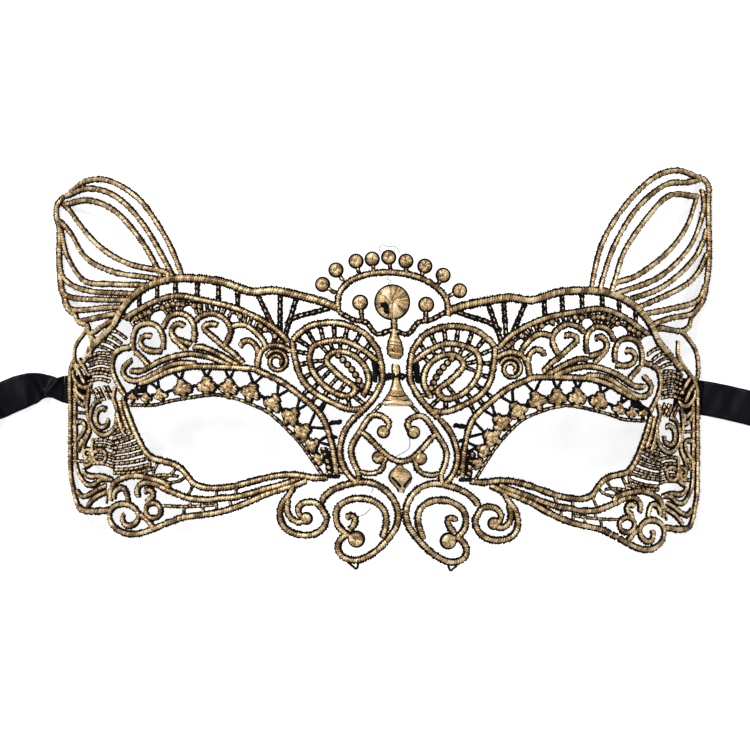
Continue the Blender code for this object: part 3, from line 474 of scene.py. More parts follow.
def swept(name, strokes, profileShape, lift):
    # each stroke is a line, its radii, whether it is closed, its level and how tall it is.
    # the mesh is bent to the form and holds each ring's tone and whether it is a dip, which the gold thread
    # darkens as painted shade
    shape = profileObject("profile", profileShape)
    data = bpy.data.curves.new(name, "CURVE")
    data.dimensions = "3D"
    data.twist_mode = "Z_UP"
    data.bevel_mode = "OBJECT"
    data.bevel_object = shape
    tones, grooveShades, centres, tangents, levels = [], [], [], [], []
    for line, radii, closed, level, tallness in strokes:
        spline = data.splines.new("POLY")
        spline.points.add(len(line) - 1)
        flat = np.column_stack([line, np.zeros(len(line)), np.ones(len(line))])
        spline.points.foreach_set("co", flat.ravel())
        spline.points.foreach_set("radius", radii)
        spline.use_cyclic_u = closed
        before = np.roll(line, 1, 0) if closed else np.vstack([line[:1], line[:-1]])
        after = np.roll(line, -1, 0) if closed else np.vstack([line[1:], line[-1:]])
        along = after - before
        tangents.append(along / np.maximum(np.linalg.norm(along, axis=1), 1e-9)[:, None])
        centres.append(line)
        each = rng.random(len(line) // 2 + 6)
        # neighbouring stitches share some of their shade
        each = 0.6 * each + 0.4 * np.convolve(each, np.ones(5) / 5, "same")
        tones.append(np.repeat(each, 2)[: len(line)])
        # every second ring is a dip between stitches, darkened later as painted shade
        grooveShades.append(np.arange(len(line)) % 2)
        levels.append(np.tile([level, tallness], (len(line), 1)))
    obj = bpy.data.objects.new(name, data)
    bpy.context.scene.collection.objects.link(obj)
    bpy.context.view_layer.update()
    mesh = bpy.data.meshes.new_from_object(obj.evaluated_get(bpy.context.evaluated_depsgraph_get()))
    bpy.data.objects.remove(obj)
    bpy.data.objects.remove(shape)
    k = len(profileShape)
    co = np.empty(len(mesh.vertices) * 3, np.float32)
    mesh.vertices.foreach_get("co", co)
    co = co.reshape(-1, 3).astype(float)
    centre, tangent = np.repeat(np.vstack(centres), k, 0), np.repeat(np.vstack(tangents), k, 0)
    side = np.stack([-tangent[:, 1], tangent[:, 0]], 1)
    offset = ((co[:, :2] - centre) * side).sum(1)
    reach = stitch["leanReach"]
    co[:, :2] += tangent * (np.clip(offset, -reach, reach) * stitch["lean"])[:, None]
    raised = np.repeat(np.vstack(levels), k, 0)
    co[:, 2] = co[:, 2] * raised[:, 1] + raised[:, 0] + lift
    mesh.vertices.foreach_set("co", formed(co).astype(np.float32).ravel())
    for label, values in (("tone", tones), ("grooveShade", grooveShades)):
        layer = mesh.attributes.new(label, "FLOAT", "POINT")
        layer.data.foreach_set("value", np.repeat(np.concatenate(values), k).astype(np.float32))
    work = bmesh.new()
    work.from_mesh(mesh)
    ends = [e for e in work.edges if len(e.link_faces) == 1]
    bmesh.ops.holes_fill(work, edges=ends, sides=0)
    bmesh.ops.recalc_face_normals(work, faces=work.faces)
    work.to_mesh(mesh)
    work.free()
    mesh.update()
    return mesh


def satinStroke(points, width, closed=False, shape=None):
    # ridged stitches across the line; shape gives the width's share along it
    line = evenly(splineThrough(laidFlat(points), closed), stitch["pitch"] / 2, closed)
    count = len(line)
    radii = np.full(count, width) * (1 + stitch["jitter"] * (rng.random(count) - 0.5) * 2)
    radii[1::2] *= stitch["dip"]
    if shape is not None:
        radii *= shape(np.linspace(0, 1, count))
    elif not closed:
        radii[0] *= 0.5
        radii[-1] *= 0.5
    return line, radii, closed


def groundStroke(points, width, closed=False, shape=None):
    # the darker stitches that show along both sides
    line = evenly(splineThrough(laidFlat(points), closed), stitch["pitch"] / 2, closed)
    count = len(line)
    radii = np.full(count, width) * (1 + 1.3 * stitch["jitter"] * (rng.random(count) - 0.5) * 2)
    radii[1::2] *= stitch["groundDip"]
    if shape is not None:
        radii *= shape(np.linspace(0, 1, count))
    elif not closed:
        radii[0] *= 0.6
        radii[-1] *= 0.6
    return line, radii, closed


def leafShape(fullness=0.5, tip=0.18):
    return lambda t: tip + (1 - tip) * np.sin(np.pi * np.clip(t, 0, 1)) ** fullness


# the lines of the lace as it lies, in millimetres from the crown's centre
earRibsLeft = [
    [(-94.8, 49.3), (-89, 53.4), (-81.5, 53.7), (-72.5, 48.1), (-65, 37.4), (-60.6, 27.6)],
    [(-94.3, 49.6), (-87.3, 51.6), (-79.2, 49), (-71.3, 40.9), (-63.5, 27.6)],
    [(-94.8, 47.2), (-87.3, 48.1), (-79.8, 45), (-72.5, 37.1), (-67, 27.8)],
    [(-95.4, 47.6), (-89.9, 40.9), (-83.5, 34.2), (-75.4, 29.6), (-65, 27.2)],
    [(-96.6, 42.6), (-92.5, 38.3), (-88.2, 31.6), (-79.8, 27.3), (-68.2, 25.4)],
    [(-96, 40), (-93.7, 31.6), (-88.7, 24.9), (-80, 23.8), (-71.5, 23.5)],
    [(-96.6, 34.8), (-94.8, 25.5), (-87.3, 22), (-74, 21)],
    [(-96.3, 26.7), (-94, 20.6), (-82.9, 19.4), (-75, 19.2)],
    [(-95.1, 20.9), (-92.2, 16.6), (-81.5, 17.1), (-77, 17.2)],
    [(-91.4, 15.7), (-90.5, 13.3), (-85, 14.2), (-79.6, 15.2)],
    [(-87.3, 9.5), (-85.8, 10), (-83.5, 11.6), (-80.6, 13.2)],
]
earRimLeft = [
    (-94.8, 49.6), (-96.9, 47), (-97.2, 43.8), (-96.4, 40), (-96.3, 34.2), (-96.3, 27.6), (-95.1, 20.9),
    (-94, 17.1), (-91.4, 15.2), (-90.3, 13.1), (-87.6, 12), (-87.3, 9.2),
]
earLeafLeft = [(-87.3, 11.6), (-91.1, 6.4), (-91.6, 2.6), (-90.2, 0.2), (-86.4, 4.9), (-86.8, 8.8)]
earRibsRight = [
    [(57.4, 24.5), (60.3, 35.7), (66.7, 46.1), (74.8, 54.2), (82.1, 56.8), (89.6, 54.8)],
    [(60, 24.1), (63.8, 35), (70.5, 45.8), (78.6, 52.5), (84.9, 53.4), (89.6, 54.4)],
    [(63.8, 24.7), (67, 33.9), (74, 43.8), (80.3, 49.6), (89, 49.3)],
    [(88.5, 50), (85.3, 41.2), (79.8, 33.6), (70.5, 26.4), (64, 24)],
    [(89.9, 51.6), (90.2, 45), (86.4, 35.4), (77.1, 26.1), (64.7, 21.2)],
    [(91.2, 40), (90, 36), (86.7, 30.7), (78, 23.2), (68.2, 19.4)],
    [(91.5, 33), (88.2, 27), (83.8, 23.2), (71.3, 17.4)],
    [(91, 24), (87.9, 19), (80.3, 16.8), (73.4, 15.4)],
    [(89.6, 18.6), (86.4, 15.4), (80.6, 14.2), (76.3, 12.8)],
    [(86.4, 12.2), (83.8, 10.4), (80.3, 10.7), (77.1, 11.2)],
]
earRimRight = [
    (89.6, 55.2), (91.7, 52.5), (91.7, 47.3), (91.8, 40), (91.9, 31.6), (91.2, 24.7), (89.9, 19.1),
    (87.6, 15.7), (86.4, 14.2), (85.6, 11.6), (83.2, 9.9),
]
earLeafRight = [(83.4, 10.6), (87.4, 5.6), (88.6, 0.4), (87.6, -3.6), (82.8, 2.4), (82.4, 7.6)]
earLinesLeft = (earRibsLeft, earRimLeft, earLeafLeft)
earLinesRight = (earRibsRight, earRimRight, earLeafRight)
topCordLeft = [
    (-87.6, 4.2), (-83.8, 8.1), (-80, 11.9), (-76.6, 17.7), (-71, 22.6), (-63.5, 25.2), (-55.1, 25.2),
    (-47.9, 24.1), (-40.3, 21.5), (-33.6, 21.8), (-26.4, 20.3), (-20, 18.6), (-15.4, 16.8),
]
browTopLeft = [
    (-76.6, 14), (-74.5, 15.1), (-68.2, 18.6), (-61.5, 20.3), (-54.2, 19.1), (-45.8, 17.1), (-39.4, 14.5),
    (-33.4, 11), (-29.3, 7),
]
rungsLeft = [
    [(-78.4, 14.6), (-74.5, 14.4)],
    [(-72.5, 21.9), (-72.5, 16)],
    [(-67.3, 24.4), (-67.3, 18.7)],
    [(-62, 25.2), (-62, 20.2)],
    [(-55.7, 25.2), (-55.7, 19.3)],
    [(-49.6, 24.4), (-49.6, 18)],
    [(-44.1, 22.8), (-44.1, 16.4)],
    [(-38.9, 21.7), (-33.8, 11.2)],
    [(-31.9, 21.6), (-32, 10)],
    [(-27, 20.6), (-30.6, 8.6)],
    [(-30.6, 12), (-27.3, 14.2), (-20.9, 15.9), (-17.5, 16.9)],
]
browCordsLeft = [
    [(-74, 4.6), (-74.3, 7.4), (-73.8, 10), (-72.6, 11.8), (-70.2, 12.5), (-67.8, 12), (-66.1, 10.2),
     (-65.4, 7.6), (-65.6, 5)],
    [(-68.8, 8.8), (-70.8, 8.9), (-72, 7.8), (-71.9, 6.4), (-70.6, 5.1), (-68.4, 4.5), (-65.6, 4.6)],
    [(-65.6, 11.2), (-63.8, 14.2), (-61.2, 15.3), (-58.6, 14.6), (-56.9, 12.6), (-56.4, 9.6), (-56.7, 7)],
    [(-59.2, 11.6), (-61, 12.4), (-62.7, 11.2), (-62.9, 9.4), (-61.6, 8), (-59.4, 7.2), (-57.2, 6.4)],
    [(-63, 8.8), (-61, 6.8), (-58.6, 4.6)],
    [(-56.2, 13), (-54.4, 14.6), (-51.2, 15.3), (-48.8, 14.4), (-47, 12.9), (-46, 10.8), (-46.4, 8.6),
     (-47.8, 6)],
    [(-49.6, 11.9), (-51.6, 12.3), (-53.4, 11.8), (-53.4, 10.6), (-50.6, 8.1), (-48.2, 6), (-45.2, 3.8),
     (-42.4, 1)],
    [(-75.2, -1.1), (-72, -1.2), (-69.5, -0.1), (-66.4, 1.6), (-62.6, 2.9), (-59.6, 3.5), (-56.8, 3.7),
     (-52.5, 2.9), (-49, 1.6), (-46, 0.4)],
    [(-57, 5.6), (-54.3, 5.6), (-51.2, 4.5), (-48.2, 3), (-45.6, 1.4), (-43.6, 0.6)],
    [(-45.8, 11.5), (-43.8, 12), (-41.6, 11.8), (-39.8, 10.7), (-38, 9), (-36.6, 7.2), (-36.1, 5.8)],
    [(-43.4, 5.6), (-42.6, 7), (-40.9, 7.5), (-39.2, 6.4), (-38.2, 4.4), (-38.3, 1.6), (-38.5, -0.4)],
    [(-79, 4.2), (-77.4, 5.3), (-75.4, 5.6), (-74.2, 6.6)],
    [(-74.5, 2.1), (-76.2, 0.6), (-77.2, -1), (-76.6, -2.8), (-74.8, -3.9), (-72.4, -3.9), (-70, -2.9),
     (-67, -1.4), (-63.6, 0.4), (-60.4, 1.1), (-56, 0.9)],
    [(-73.8, 4.6), (-71.8, 2.8), (-69.8, 0.6)],
    [(-78, 5.2), (-79.4, 4), (-80.2, 2), (-80.3, -0.6), (-79.6, -3), (-78.4, -5.4), (-77.2, -7.4),
     (-76.2, -8.6)],
    [(-38.4, -0.4), (-38, 2.6), (-37, 4.8), (-35, 6), (-32.5, 6.1), (-30.1, 5.3), (-28.7, 4.2)],
]
rosette = {"centre": (-32.8, 1.5), "outer": 3.4, "inner": 1.1, "start": 2.8, "turns": -1.6}
browCordLeft = [
    (-72.4, -4.9), (-69.9, -4.2), (-67.2, -2.9), (-64.5, -1.6), (-61.9, -0.8), (-59.2, -0.2),
    (-56.5, 0.2), (-53.9, 0.1), (-48.2, 0), (-42.8, -0.3), (-39.2, -0.7), (-37.4, -1.5), (-34.6, -2.7),
    (-31.6, -4.2), (-28.6, -6.3), (-25.6, -8.7), (-22.6, -11.2), (-20.2, -13.8), (-18.4, -17.5),
    (-17, -22.4), (-16.4, -25.7), (-15.6, -30.5),
]
knotsLeft = [
    (-74.2, -8.6), (-70.4, -8.9), (-66.2, -8.1), (-59.8, -6.2), (-52.9, -5.5), (-46.6, -6), (-40.2, -7.2),
    (-34, -10.5), (-28.9, -14.2), (-25.6, -18.6), (-22.8, -22.4), (-20.8, -26.2),
]
# some knots by number and their sizes; those between are in even steps
knotSizes = ([0, 2, 3, 9, 11], [2.6, 3.4, 4.9, 4.8, 3.2])
eyeTopLeft = [
    (-75.6, -10.9), (-68.2, -10.9), (-62.6, -9.6), (-51.6, -8), (-45.5, -8.8), (-39.4, -11),
    (-34.2, -13.8), (-26.7, -21.2), (-19.6, -31),
]
# lines and widths of the stitching at the eye's corners: whipped with gold, then all black
goldPatchesLeft = [
    ([(-19.6, -22.8), (-18.4, -26.4), (-17.6, -30.4)], 2.6),
    ([(-16.4, -24), (-15.6, -27.6), (-13.8, -30.6)], 1.6),
]
blackPatchesLeft = [
    ([(-17.8, -16), (-14.2, -15.7)], 1.6),
    ([(-17.6, -19.8), (-15.4, -20.2)], 1.3),
    ([(-76.6, -9.4), (-74.4, -7.4), (-71, -6.6)], 1.8),
    ([(-18.6, -31), (-14.6, -31.2)], 1.4),
]
# the outline of the scrolls' tops, where the net below the brow's upper cord ends
browArchesLeft = [
    (-75.2, 8), (-74, 11), (-70.4, 13), (-66.4, 12), (-64.2, 14.6), (-61, 15.8), (-57.6, 14.8),
    (-54.6, 15.4), (-51, 15.8), (-47.4, 14.6), (-45, 12.6), (-41.6, 12.4), (-38.6, 10.6), (-36, 7.6),
    (-33, 6.6),
]
# pairs of lines that threads run between, how many threads, and how far their middles are off straight
templeHatchLeft = [
    ([(-88, 3.4), (-87.4, -4.6)], [(-81, 4.4), (-80.8, -5)], 6, 0.7),
    ([(-87.4, -6.2), (-81.4, -5)], [(-85.2, -10.2), (-79.6, -9)], 5, 0),
    ([(-80.8, -17.2), (-80.4, -28.4)], [(-75.6, -14.2), (-70, -27)], 8, -0.3),
    ([(-86.2, -20.4), (-87, -28.8)], [(-80.2, -21), (-79.6, -29.6)], 5, 0.5),
    ([(-85.8, 5.4), (-80.6, 11.8)], [(-80.4, 3.4), (-75.4, 8.8)], 4, 0.4),
    ([(-80, -28.8), (-80, -31.4)], [(-69.6, -27.4), (-67.4, -30)], 2, -0.5),
]
paisleyLeft = [
    [(-28.4, 7.3), (-27.8, 2.9), (-25.8, -3.2), (-21.8, -7.5), (-14.5, -11.3), (-10.6, -12.2), (-8, -11.8)],
    [(-28.4, 7.3), (-26.7, 9.3), (-22.6, 11.9), (-15.4, 12.5), (-8.4, 9.9), (-4.6, 5.5), (-3.9, 4),
     (-3.1, 0.6), (-2.8, -3.6), (-3.8, -6.2), (-5.2, -8.8), (-7.6, -11.6), (-10.2, -14.2)],
    [(-4, 1.4), (-8.4, 4.9), (-14.5, 7.5), (-21.5, 6.4), (-23.5, 3.2), (-22.3, -1.7), (-18, -6.4),
     (-12.8, -8.4), (-10.4, -6.2), (-14.5, -2.9), (-18.6, 1.5), (-16.5, 4.2), (-11.9, 3.7), (-8, 0.4),
     (-6.6, -4.1), (-8.4, -8.6)],
]
paisleyOutlineLeft = paisleyLeft[0][::-1] + paisleyLeft[1][1:]
paisleyKnotsLeft = [(-15.3, 3.3), (-11.2, -1.1), (-7.6, -7.2)]
cheekLeft = [
    [(-77, -8.6), (-76.2, -12), (-73.9, -18), (-72, -21.9), (-70.4, -24.5), (-68.4, -26.2), (-65.9, -26.9),
     (-62.8, -27.7), (-60.6, -28.9), (-58.6, -31), (-56.7, -33.3), (-53.4, -34.5), (-49.9, -34.6),
     (-45.3, -34.1), (-40, -32.7), (-36.9, -31.9), (-33.8, -31.2), (-30.7, -30.8), (-27.6, -30.8),
     (-25.1, -31.1), (-22, -31.6), (-18, -31.5)],
    [(-72.6, -37.6), (-73, -35.8), (-72.4, -34.1), (-71, -33.3), (-69.2, -33.3), (-66.9, -33.9),
     (-64.7, -35), (-60, -36.9), (-57.2, -37.7), (-52.4, -38), (-49.3, -37.5), (-45, -37.2), (-40, -36),
     (-36.9, -35), (-33.8, -34.2), (-30.4, -33.2), (-27, -32)],
    [(-65.3, -45), (-62.8, -44.2), (-60, -43.1), (-54.4, -42.3), (-49.9, -41.6), (-45.6, -40.4),
     (-41, -38.6), (-36.9, -36.7), (-33.8, -35.6), (-30.7, -34.6), (-27.4, -33.6), (-24.2, -32.3)],
    [(-80.8, -38.6), (-80.8, -36.2), (-80.1, -34), (-78.4, -32.5), (-75.9, -31.5), (-73.1, -31.2),
     (-70.6, -31.6), (-68.1, -32.2), (-65.3, -33.1), (-63.6, -34.6)],
]
cheekBarsLeft = [
    [(-66.1, -39.8), (-60, -40), (-54.2, -39.8), (-50, -39.4)],
    [(-58, -37.3), (-57.7, -40)],
    [(-59.4, -40), (-59.8, -42.8)],
    [(-54.2, -38), (-54, -42.2)],
    [(-50.4, -37.8), (-50, -41.4)],
    [(-46.4, -37.6), (-46, -40.4)],
    [(-42, -36.6), (-41.4, -38.6)],
    [(-50, -34.8), (-50.4, -37.6)],
    [(-44.4, -34), (-44.8, -37)],
    [(-38, -35.4), (-37.6, -36.8)],
    [(-67, -27.4), (-68.4, -30.2), (-67.9, -32)],
    [(-61.6, -28.8), (-63.6, -31), (-66, -32.2)],
    [(-58.9, -31.2), (-60.6, -32.5), (-63.4, -33.2), (-65.3, -33.1)],
    [(-56.8, -33.6), (-58.4, -36.9)],
    [(-68, -31.2), (-64.4, -31), (-61, -31.4)],
    [(-70.6, -24.8), (-69.4, -28), (-71, -31)],
]
jawLeft = [
    [(-65.3, -45.1), (-67.5, -46.1), (-69.8, -47), (-72.4, -47.8), (-75.3, -48), (-78.1, -47.2),
     (-80.3, -45.5), (-81.2, -43.2), (-80.8, -41.2), (-79.2, -39.8), (-76.7, -39.4), (-74.5, -40.1),
     (-72.9, -41.8), (-72.8, -43.6), (-73.9, -45.1), (-75.4, -45.7), (-76.8, -45.2), (-77.4, -43.6),
     (-76.9, -42.2)],
    [(-79.9, -38), (-79.6, -36.2), (-78.2, -34.9), (-76.8, -35.1), (-76, -36.8), (-75.6, -39)],
    [(-72.4, -42.2), (-70.8, -43.3), (-69.6, -44.6), (-68.4, -46)],
    [(-71.1, -36), (-69.8, -35.2), (-68.5, -36), (-68.6, -37.4), (-69.8, -38.2), (-70.2, -39.4)],
]
jawRing = {"centre": (-68.4, -41.2), "radius": 2.2}
templeRings = [{"centre": (-87.5, -25), "radius": 1.2}, {"centre": (-84.1, -25.7), "radius": 1.9}]
sideLeft = [
    [(-91.6, 2), (-92.8, -1), (-93, -6), (-92.9, -12), (-92.9, -20), (-92.8, -30.8), (-92, -35),
     (-91.2, -38.4), (-90.2, -40.6), (-88.4, -41.5), (-85.4, -41.6), (-81.4, -41.3)],
]
templeLeft = [
    [(-91.8, 0.5), (-90.2, -1.5), (-88.6, -4.6)],
    [(-90.4, 2.4), (-88.8, 0.2), (-87.4, -2.4)],
    [(-91.8, -6.2), (-90, -8), (-88.2, -9.4)],
    [(-78.2, -9.5), (-77.6, -12), (-76.6, -15.4), (-75.2, -18.6)],
    [(-79, -12.8), (-78, -16.6), (-76.8, -19.6)],
    [(-92, -1), (-91.6, -3.4), (-89.6, -5.6), (-87.4, -5.8), (-86.4, -4.6)],
    [(-82, -12.4), (-83.4, -11.9), (-84.8, -13.2), (-85, -15.6), (-83.8, -17.4), (-82, -16.8),
     (-81.4, -14.8)],
    [(-79.5, -5.8), (-80, -9), (-79, -12), (-79, -15.4), (-80.2, -18.2), (-82.6, -19.6), (-85, -18.6),
     (-86.6, -16), (-86.6, -13), (-85.4, -10.4), (-83.4, -9.4)],
    [(-91, -5.6), (-90.8, -9), (-88.6, -11), (-88.2, -8)],
    [(-91.9, -17.7), (-90.8, -16), (-89, -16), (-88.4, -17.4), (-89.3, -19.2)],
    [(-91.9, -22.7), (-89.6, -19.8), (-88.4, -18)],
    [(-90.5, -24.4), (-89, -20.9)],
    [(-86, -20.6), (-86.3, -23.2), (-86, -26.7), (-87.5, -28.4), (-88.7, -28.1)],
    [(-91.2, -4), (-91.4, -12), (-91.2, -20), (-91.2, -26.6), (-90.6, -30), (-89.5, -32.2),
     (-87.9, -33.9), (-85.6, -33.9), (-83.7, -32.4), (-81.2, -32.3)],
    [(-87.2, -6.2), (-87.8, -12), (-87, -18), (-88.6, -22), (-88.8, -25), (-88, -27.2), (-86.8, -26.4),
     (-87, -24)],
    [(-89, -29.2), (-88.4, -30.8), (-86.5, -31.6), (-83.7, -31.5), (-80.3, -32.6)],
    [(-91, -35.6), (-89.2, -37.4), (-86.6, -36.6), (-84.4, -35.2), (-82, -34.2)],
    [(-87.9, -40.6), (-86.6, -38.9), (-84.6, -37.2), (-82, -36)],
]
templeBarsLeft = [
    [(-92.6, -8.6), (-88, -8.4)],
    [(-92.6, -13), (-87.6, -13.4)],
    [(-92.6, -22.6), (-88.4, -21.4)],
    [(-92.6, -27), (-88, -27.4)],
    [(-82.2, -39.4), (-81.6, -35.4)],
]
bowLeft = [
    [(-10.3, -14.1), (-12.4, -16.6), (-13.9, -19.4), (-14.7, -22.8), (-14.7, -25.2), (-13.9, -28),
     (-12.6, -30.3), (-11, -32.1), (-9.9, -32.7)],
    [(-9.7, -32.7), (-9.4, -31.2), (-9.6, -29.8), (-10.4, -28.2), (-11.3, -25.9), (-11.6, -23.5),
     (-10.8, -21.2), (-9.2, -18.7), (-7.9, -16.5), (-6.6, -14.6), (-5.2, -13.7), (-3.2, -14),
     (-1.5, -15.2), (-1, -16.8), (-2.2, -18.4)],
]
noseScrollLeft = [
    [(-19.9, -38.6), (-19.5, -37.3), (-18.6, -36.4), (-17, -35.1), (-14.6, -34), (-12.2, -33.3),
     (-9.8, -32.9), (-7.3, -32.7), (-4.9, -33.3), (-2.8, -34.4), (-0.8, -36.2), (0.6, -38.3),
     (1.5, -40.8), (1.6, -43.2), (1, -45.6), (-0.2, -47.5), (-1.4, -49.1), (-2.9, -50.8), (-4.9, -52.6),
     (-7.3, -54.1), (-9.8, -55), (-12.2, -54.8), (-14.2, -53.8), (-15.3, -52.1), (-15.2, -50.2),
     (-14.1, -48.6), (-12.6, -47.9), (-11, -48.5)],
    [(-12.6, -47.8), (-14.5, -46.2), (-15.6, -44.4), (-15.9, -42), (-15.3, -40), (-13.9, -38.7),
     (-11.7, -37.7), (-9.3, -37.4), (-6.6, -37.7), (-4.2, -38.8), (-2.5, -40.5), (-1.8, -42.4),
     (-1.7, -44.4), (-2.2, -46.8), (-2.9, -48.9)],
    [(-12.9, -43.3), (-12.3, -42.5), (-11.2, -42.4), (-10.4, -43.3), (-10.9, -45), (-12.1, -46.6)],
]
noseCurlLeft = [
    [(-28, -34), (-29.5, -36.6), (-31, -38.4), (-31.8, -40.3), (-32, -42.2), (-31.5, -44.4),
     (-30.2, -46.2), (-27.8, -47.5), (-24.7, -48), (-22.1, -47.6), (-20.1, -46.4), (-18.9, -44.6),
     (-18.7, -42.6), (-19.6, -41), (-20.5, -39.6), (-21.8, -38.7), (-23.3, -38.5), (-25, -38.7),
     (-26.2, -39.5), (-26.8, -40.8), (-26.3, -42.2), (-25.2, -43)],
    [(-29.4, -37.6), (-29.9, -39.5), (-29.7, -41.7), (-28.6, -43.3), (-26.9, -44.2), (-25, -44)],
]
crownArc = [
    (-15.5, 14.8), (-15.7, 18.2), (-14.8, 21.2), (-12.6, 23.6), (-9.8, 25.2), (-5.5, 26.5), (0, 26.9),
    (5.5, 26.3), (9.8, 24.8), (12.6, 23), (14.8, 20.6), (15.6, 18), (15.6, 14.8),
]
crownBase = [
    (-15.2, 15.6), (-11, 13.4), (-7.4, 12.6), (-4.4, 9.4), (0, 10.4), (4.4, 9.4), (7.4, 12.6), (11, 13.4),
    (15.2, 15.6),
]
crownBeads = [
    (-19.8, 23.5), (-16, 27.6), (-10.3, 30.1), (-5.7, 30.7), (-1, 31.2), (3.9, 30.1), (9.3, 28.7),
    (14.5, 26.1), (19.2, 21.7),
]
stemFeet = [
    (-16, 20.9), (-13.9, 24.4), (-9.4, 26.4), (-5.2, 26.8), (-0.4, 27.1), (4, 26.8), (8.2, 25.6),
    (12.6, 22.7), (15.1, 19.7),
]
hair = 0.2  # width of a loose thread
looseThreads = [
    [(-3.2, 32.6), (-3.8, 33.8), (-2.8, 34.8), (-1.2, 34.2), (0.4, 34.4), (1.6, 33.6), (2.2, 32.4)],
    [(-0.8, 26), (-1.6, 25), (-0.4, 24.6), (-1.2, 23.6), (-0.6, 22.8)],
]
bellBars = [
    ([(-2.4, -3.1), (-0.4, -2.7), (2.4, -2.7), (3.8, -3.1)], 2.3),
    ([(-3, -10.5), (-4.4, -11.9), (-5.8, -13.6)], 1.3),
    ([(4.8, -10.5), (6.2, -11.8), (7.6, -13.4)], 1.3),
]
bellSeams = [
    [(-2.5, -9.6), (1.1, -10.1), (4.5, -9.6)],
    [(-1.3, -8.2), (1.3, -8.7), (3.7, -8.2)],
]
heart = [
    (-11.2, -18.6), (-9.3, -19.6), (-7, -21.9), (-3.4, -25.4), (0, -26.9), (3.4, -25.9), (6.2, -23.4),
    (8.6, -20.8), (10.6, -18.8),
]
heartLoops = [(-3.6, -25.6), (-4.5, -27.4), (-4.9, -28.9), (-6.6, -30.2), (-9.2, -30.6), (-11, -30)]

layers = {}  # strokes by node and kind, sewn into one piece each at the end


def addTo(node, layer, line, radii, closed=False, level=0.0, tall=None):
    profileTall = 0.62 if layer == "satin" else 0.26
    tallness = 1.0 if tall is None else tall / (np.max(radii) * profileTall)
    layers.setdefault((node, layer), []).append((line, radii, closed, level, tallness))


def cord(node, points, width=1.0, closed=False, level=None, edging=1.0):
    # a satin cord over its darker edging
    level = rng.random() * 0.12 if level is None else level
    gold = stitch["satinWidth"] * width
    addTo(node, "satin", *satinStroke(points, gold, closed), level=level)
    addTo(node, "ground", *groundStroke(points, gold + stitch["edging"] * edging, closed), level=level)


def bar(node, points, width=1.25, gold=0.62, level=-0.05):
    # a thin whipped thread, black and gold by turns
    addTo(node, "ground", *groundStroke(points, width), level=level + 0.1)
    line, radii, closed = satinStroke(points, gold)
    phase = rng.integers(0, 5)
    radii *= np.where((np.arange(len(line)) + phase) % 5 < 3, 1.0, 0.25)
    addTo(node, "satin", line, radii, level=level)


def hatch(node, near, far, count, sag=0.0):
    # threads side by side between two lines
    a, b = (evenly(splineThrough(line), 0.1) for line in (near, far))
    for share in (np.arange(count) + 0.5) / count:
        start, end = a[int(share * (len(a) - 1))], b[int(share * (len(b) - 1))]
        start, end = start + 0.5 * (rng.random(2) - 0.5), end + 0.5 * (rng.random(2) - 0.5)
        middle = (start + end) / 2 + (0, sag)
        bar(node, [tuple(start), tuple(middle), tuple(end)], 1.47, 0.72)


def net(node, upper, lower, pitch=2.0, gold=0.55):
    # threads from cord to cord, tied across with knots where there is room
    a, b = (evenly(splineThrough(line), 0.1)[:, :2] for line in (upper, lower))
    count = max(3, int(len(a) * 0.1 / pitch))
    previous = None
    for i in range(count):
        start = a[int((i + 0.5) / count * (len(a) - 1))]
        end = b[np.hypot(*(b - start).T).argmin()]
        room = np.hypot(*(end - start))
        if room <= 0.9:  # the two cords touch here
            continue
        bar(node, [tuple(start), tuple(end + 0.8 * (rng.random(2) - 0.5))], 1.5, gold)
        middle = (start + end) / 2
        if previous is not None and room > 3.2:
            between = (previous + middle) / 2 + (0.3, 0.4)
            bar(node, [tuple(previous), tuple(between), tuple(middle)], 1.6, gold)
            bead(node, *middle, 0.62, 0.8, 0.4)
        previous = middle


def thread(node, points, width=0.3, level=0.25):
    addTo(node, "ground", *groundStroke(points, width), level=level, tall=width * 0.8)


def fat(node, line, radii, tall, outline=0.5, level=0.0):
    # a filled satin shape, with its stitches across the line
    addTo(node, "satin", line, radii, False, level, tall)
    addTo(node, "ground", line, np.maximum(radii + 2 * outline, 0.3), False, level, 0.55)


def lobe(node, x, y, heading, length, width, outline, level, tall=0.9):
    dx, dy = math.cos(heading) * length / 2, math.sin(heading) * length / 2
    middle = [(x - dx, y - dy), (x + dx, y + dy)]
    line, radii, closed = satinStroke(middle, width, shape=leafShape(0.5, 0.35))
    fat(node, line, radii, tall, outline, level)
    ends = [(x - dx * 1.3, y - dy * 1.3), (x + dx * 1.3, y + dy * 1.3)]  # the outline goes round them
    under = groundStroke(ends, width * 0.8 + outline, shape=leafShape(0.5, 0.5))
    addTo(node, "ground", *under, level=level, tall=0.5)


# the four lobes of a knot: place along and across, length and width, as shares of its size
knotLobes = [
    (-0.36, 0, 0.42, 0.52),
    (0.05, 0.34, 0.5, 0.42),
    (0.05, -0.34, 0.5, 0.42),
    (0.4, 0, 0.36, 0.36),
]


def flower(node, x, y, heading, size):
    # a stitched knot: a round middle with four lobes; heading points to its foot
    foot = np.array([math.cos(heading), math.sin(heading)])
    side = np.array([-foot[1], foot[0]])
    outline = 0.16 * size
    bead(node, x, y, size * 0.33, 1.1, outline, 0.16)
    for along, over, length, width in knotLobes:
        spot = np.array([x, y]) + (foot * along + side * over) * size
        turn = rng.random() - 0.5
        level = 0.1 * rng.random()
        lobe(node, *spot, heading + turn, length * size, width * size, outline, level)


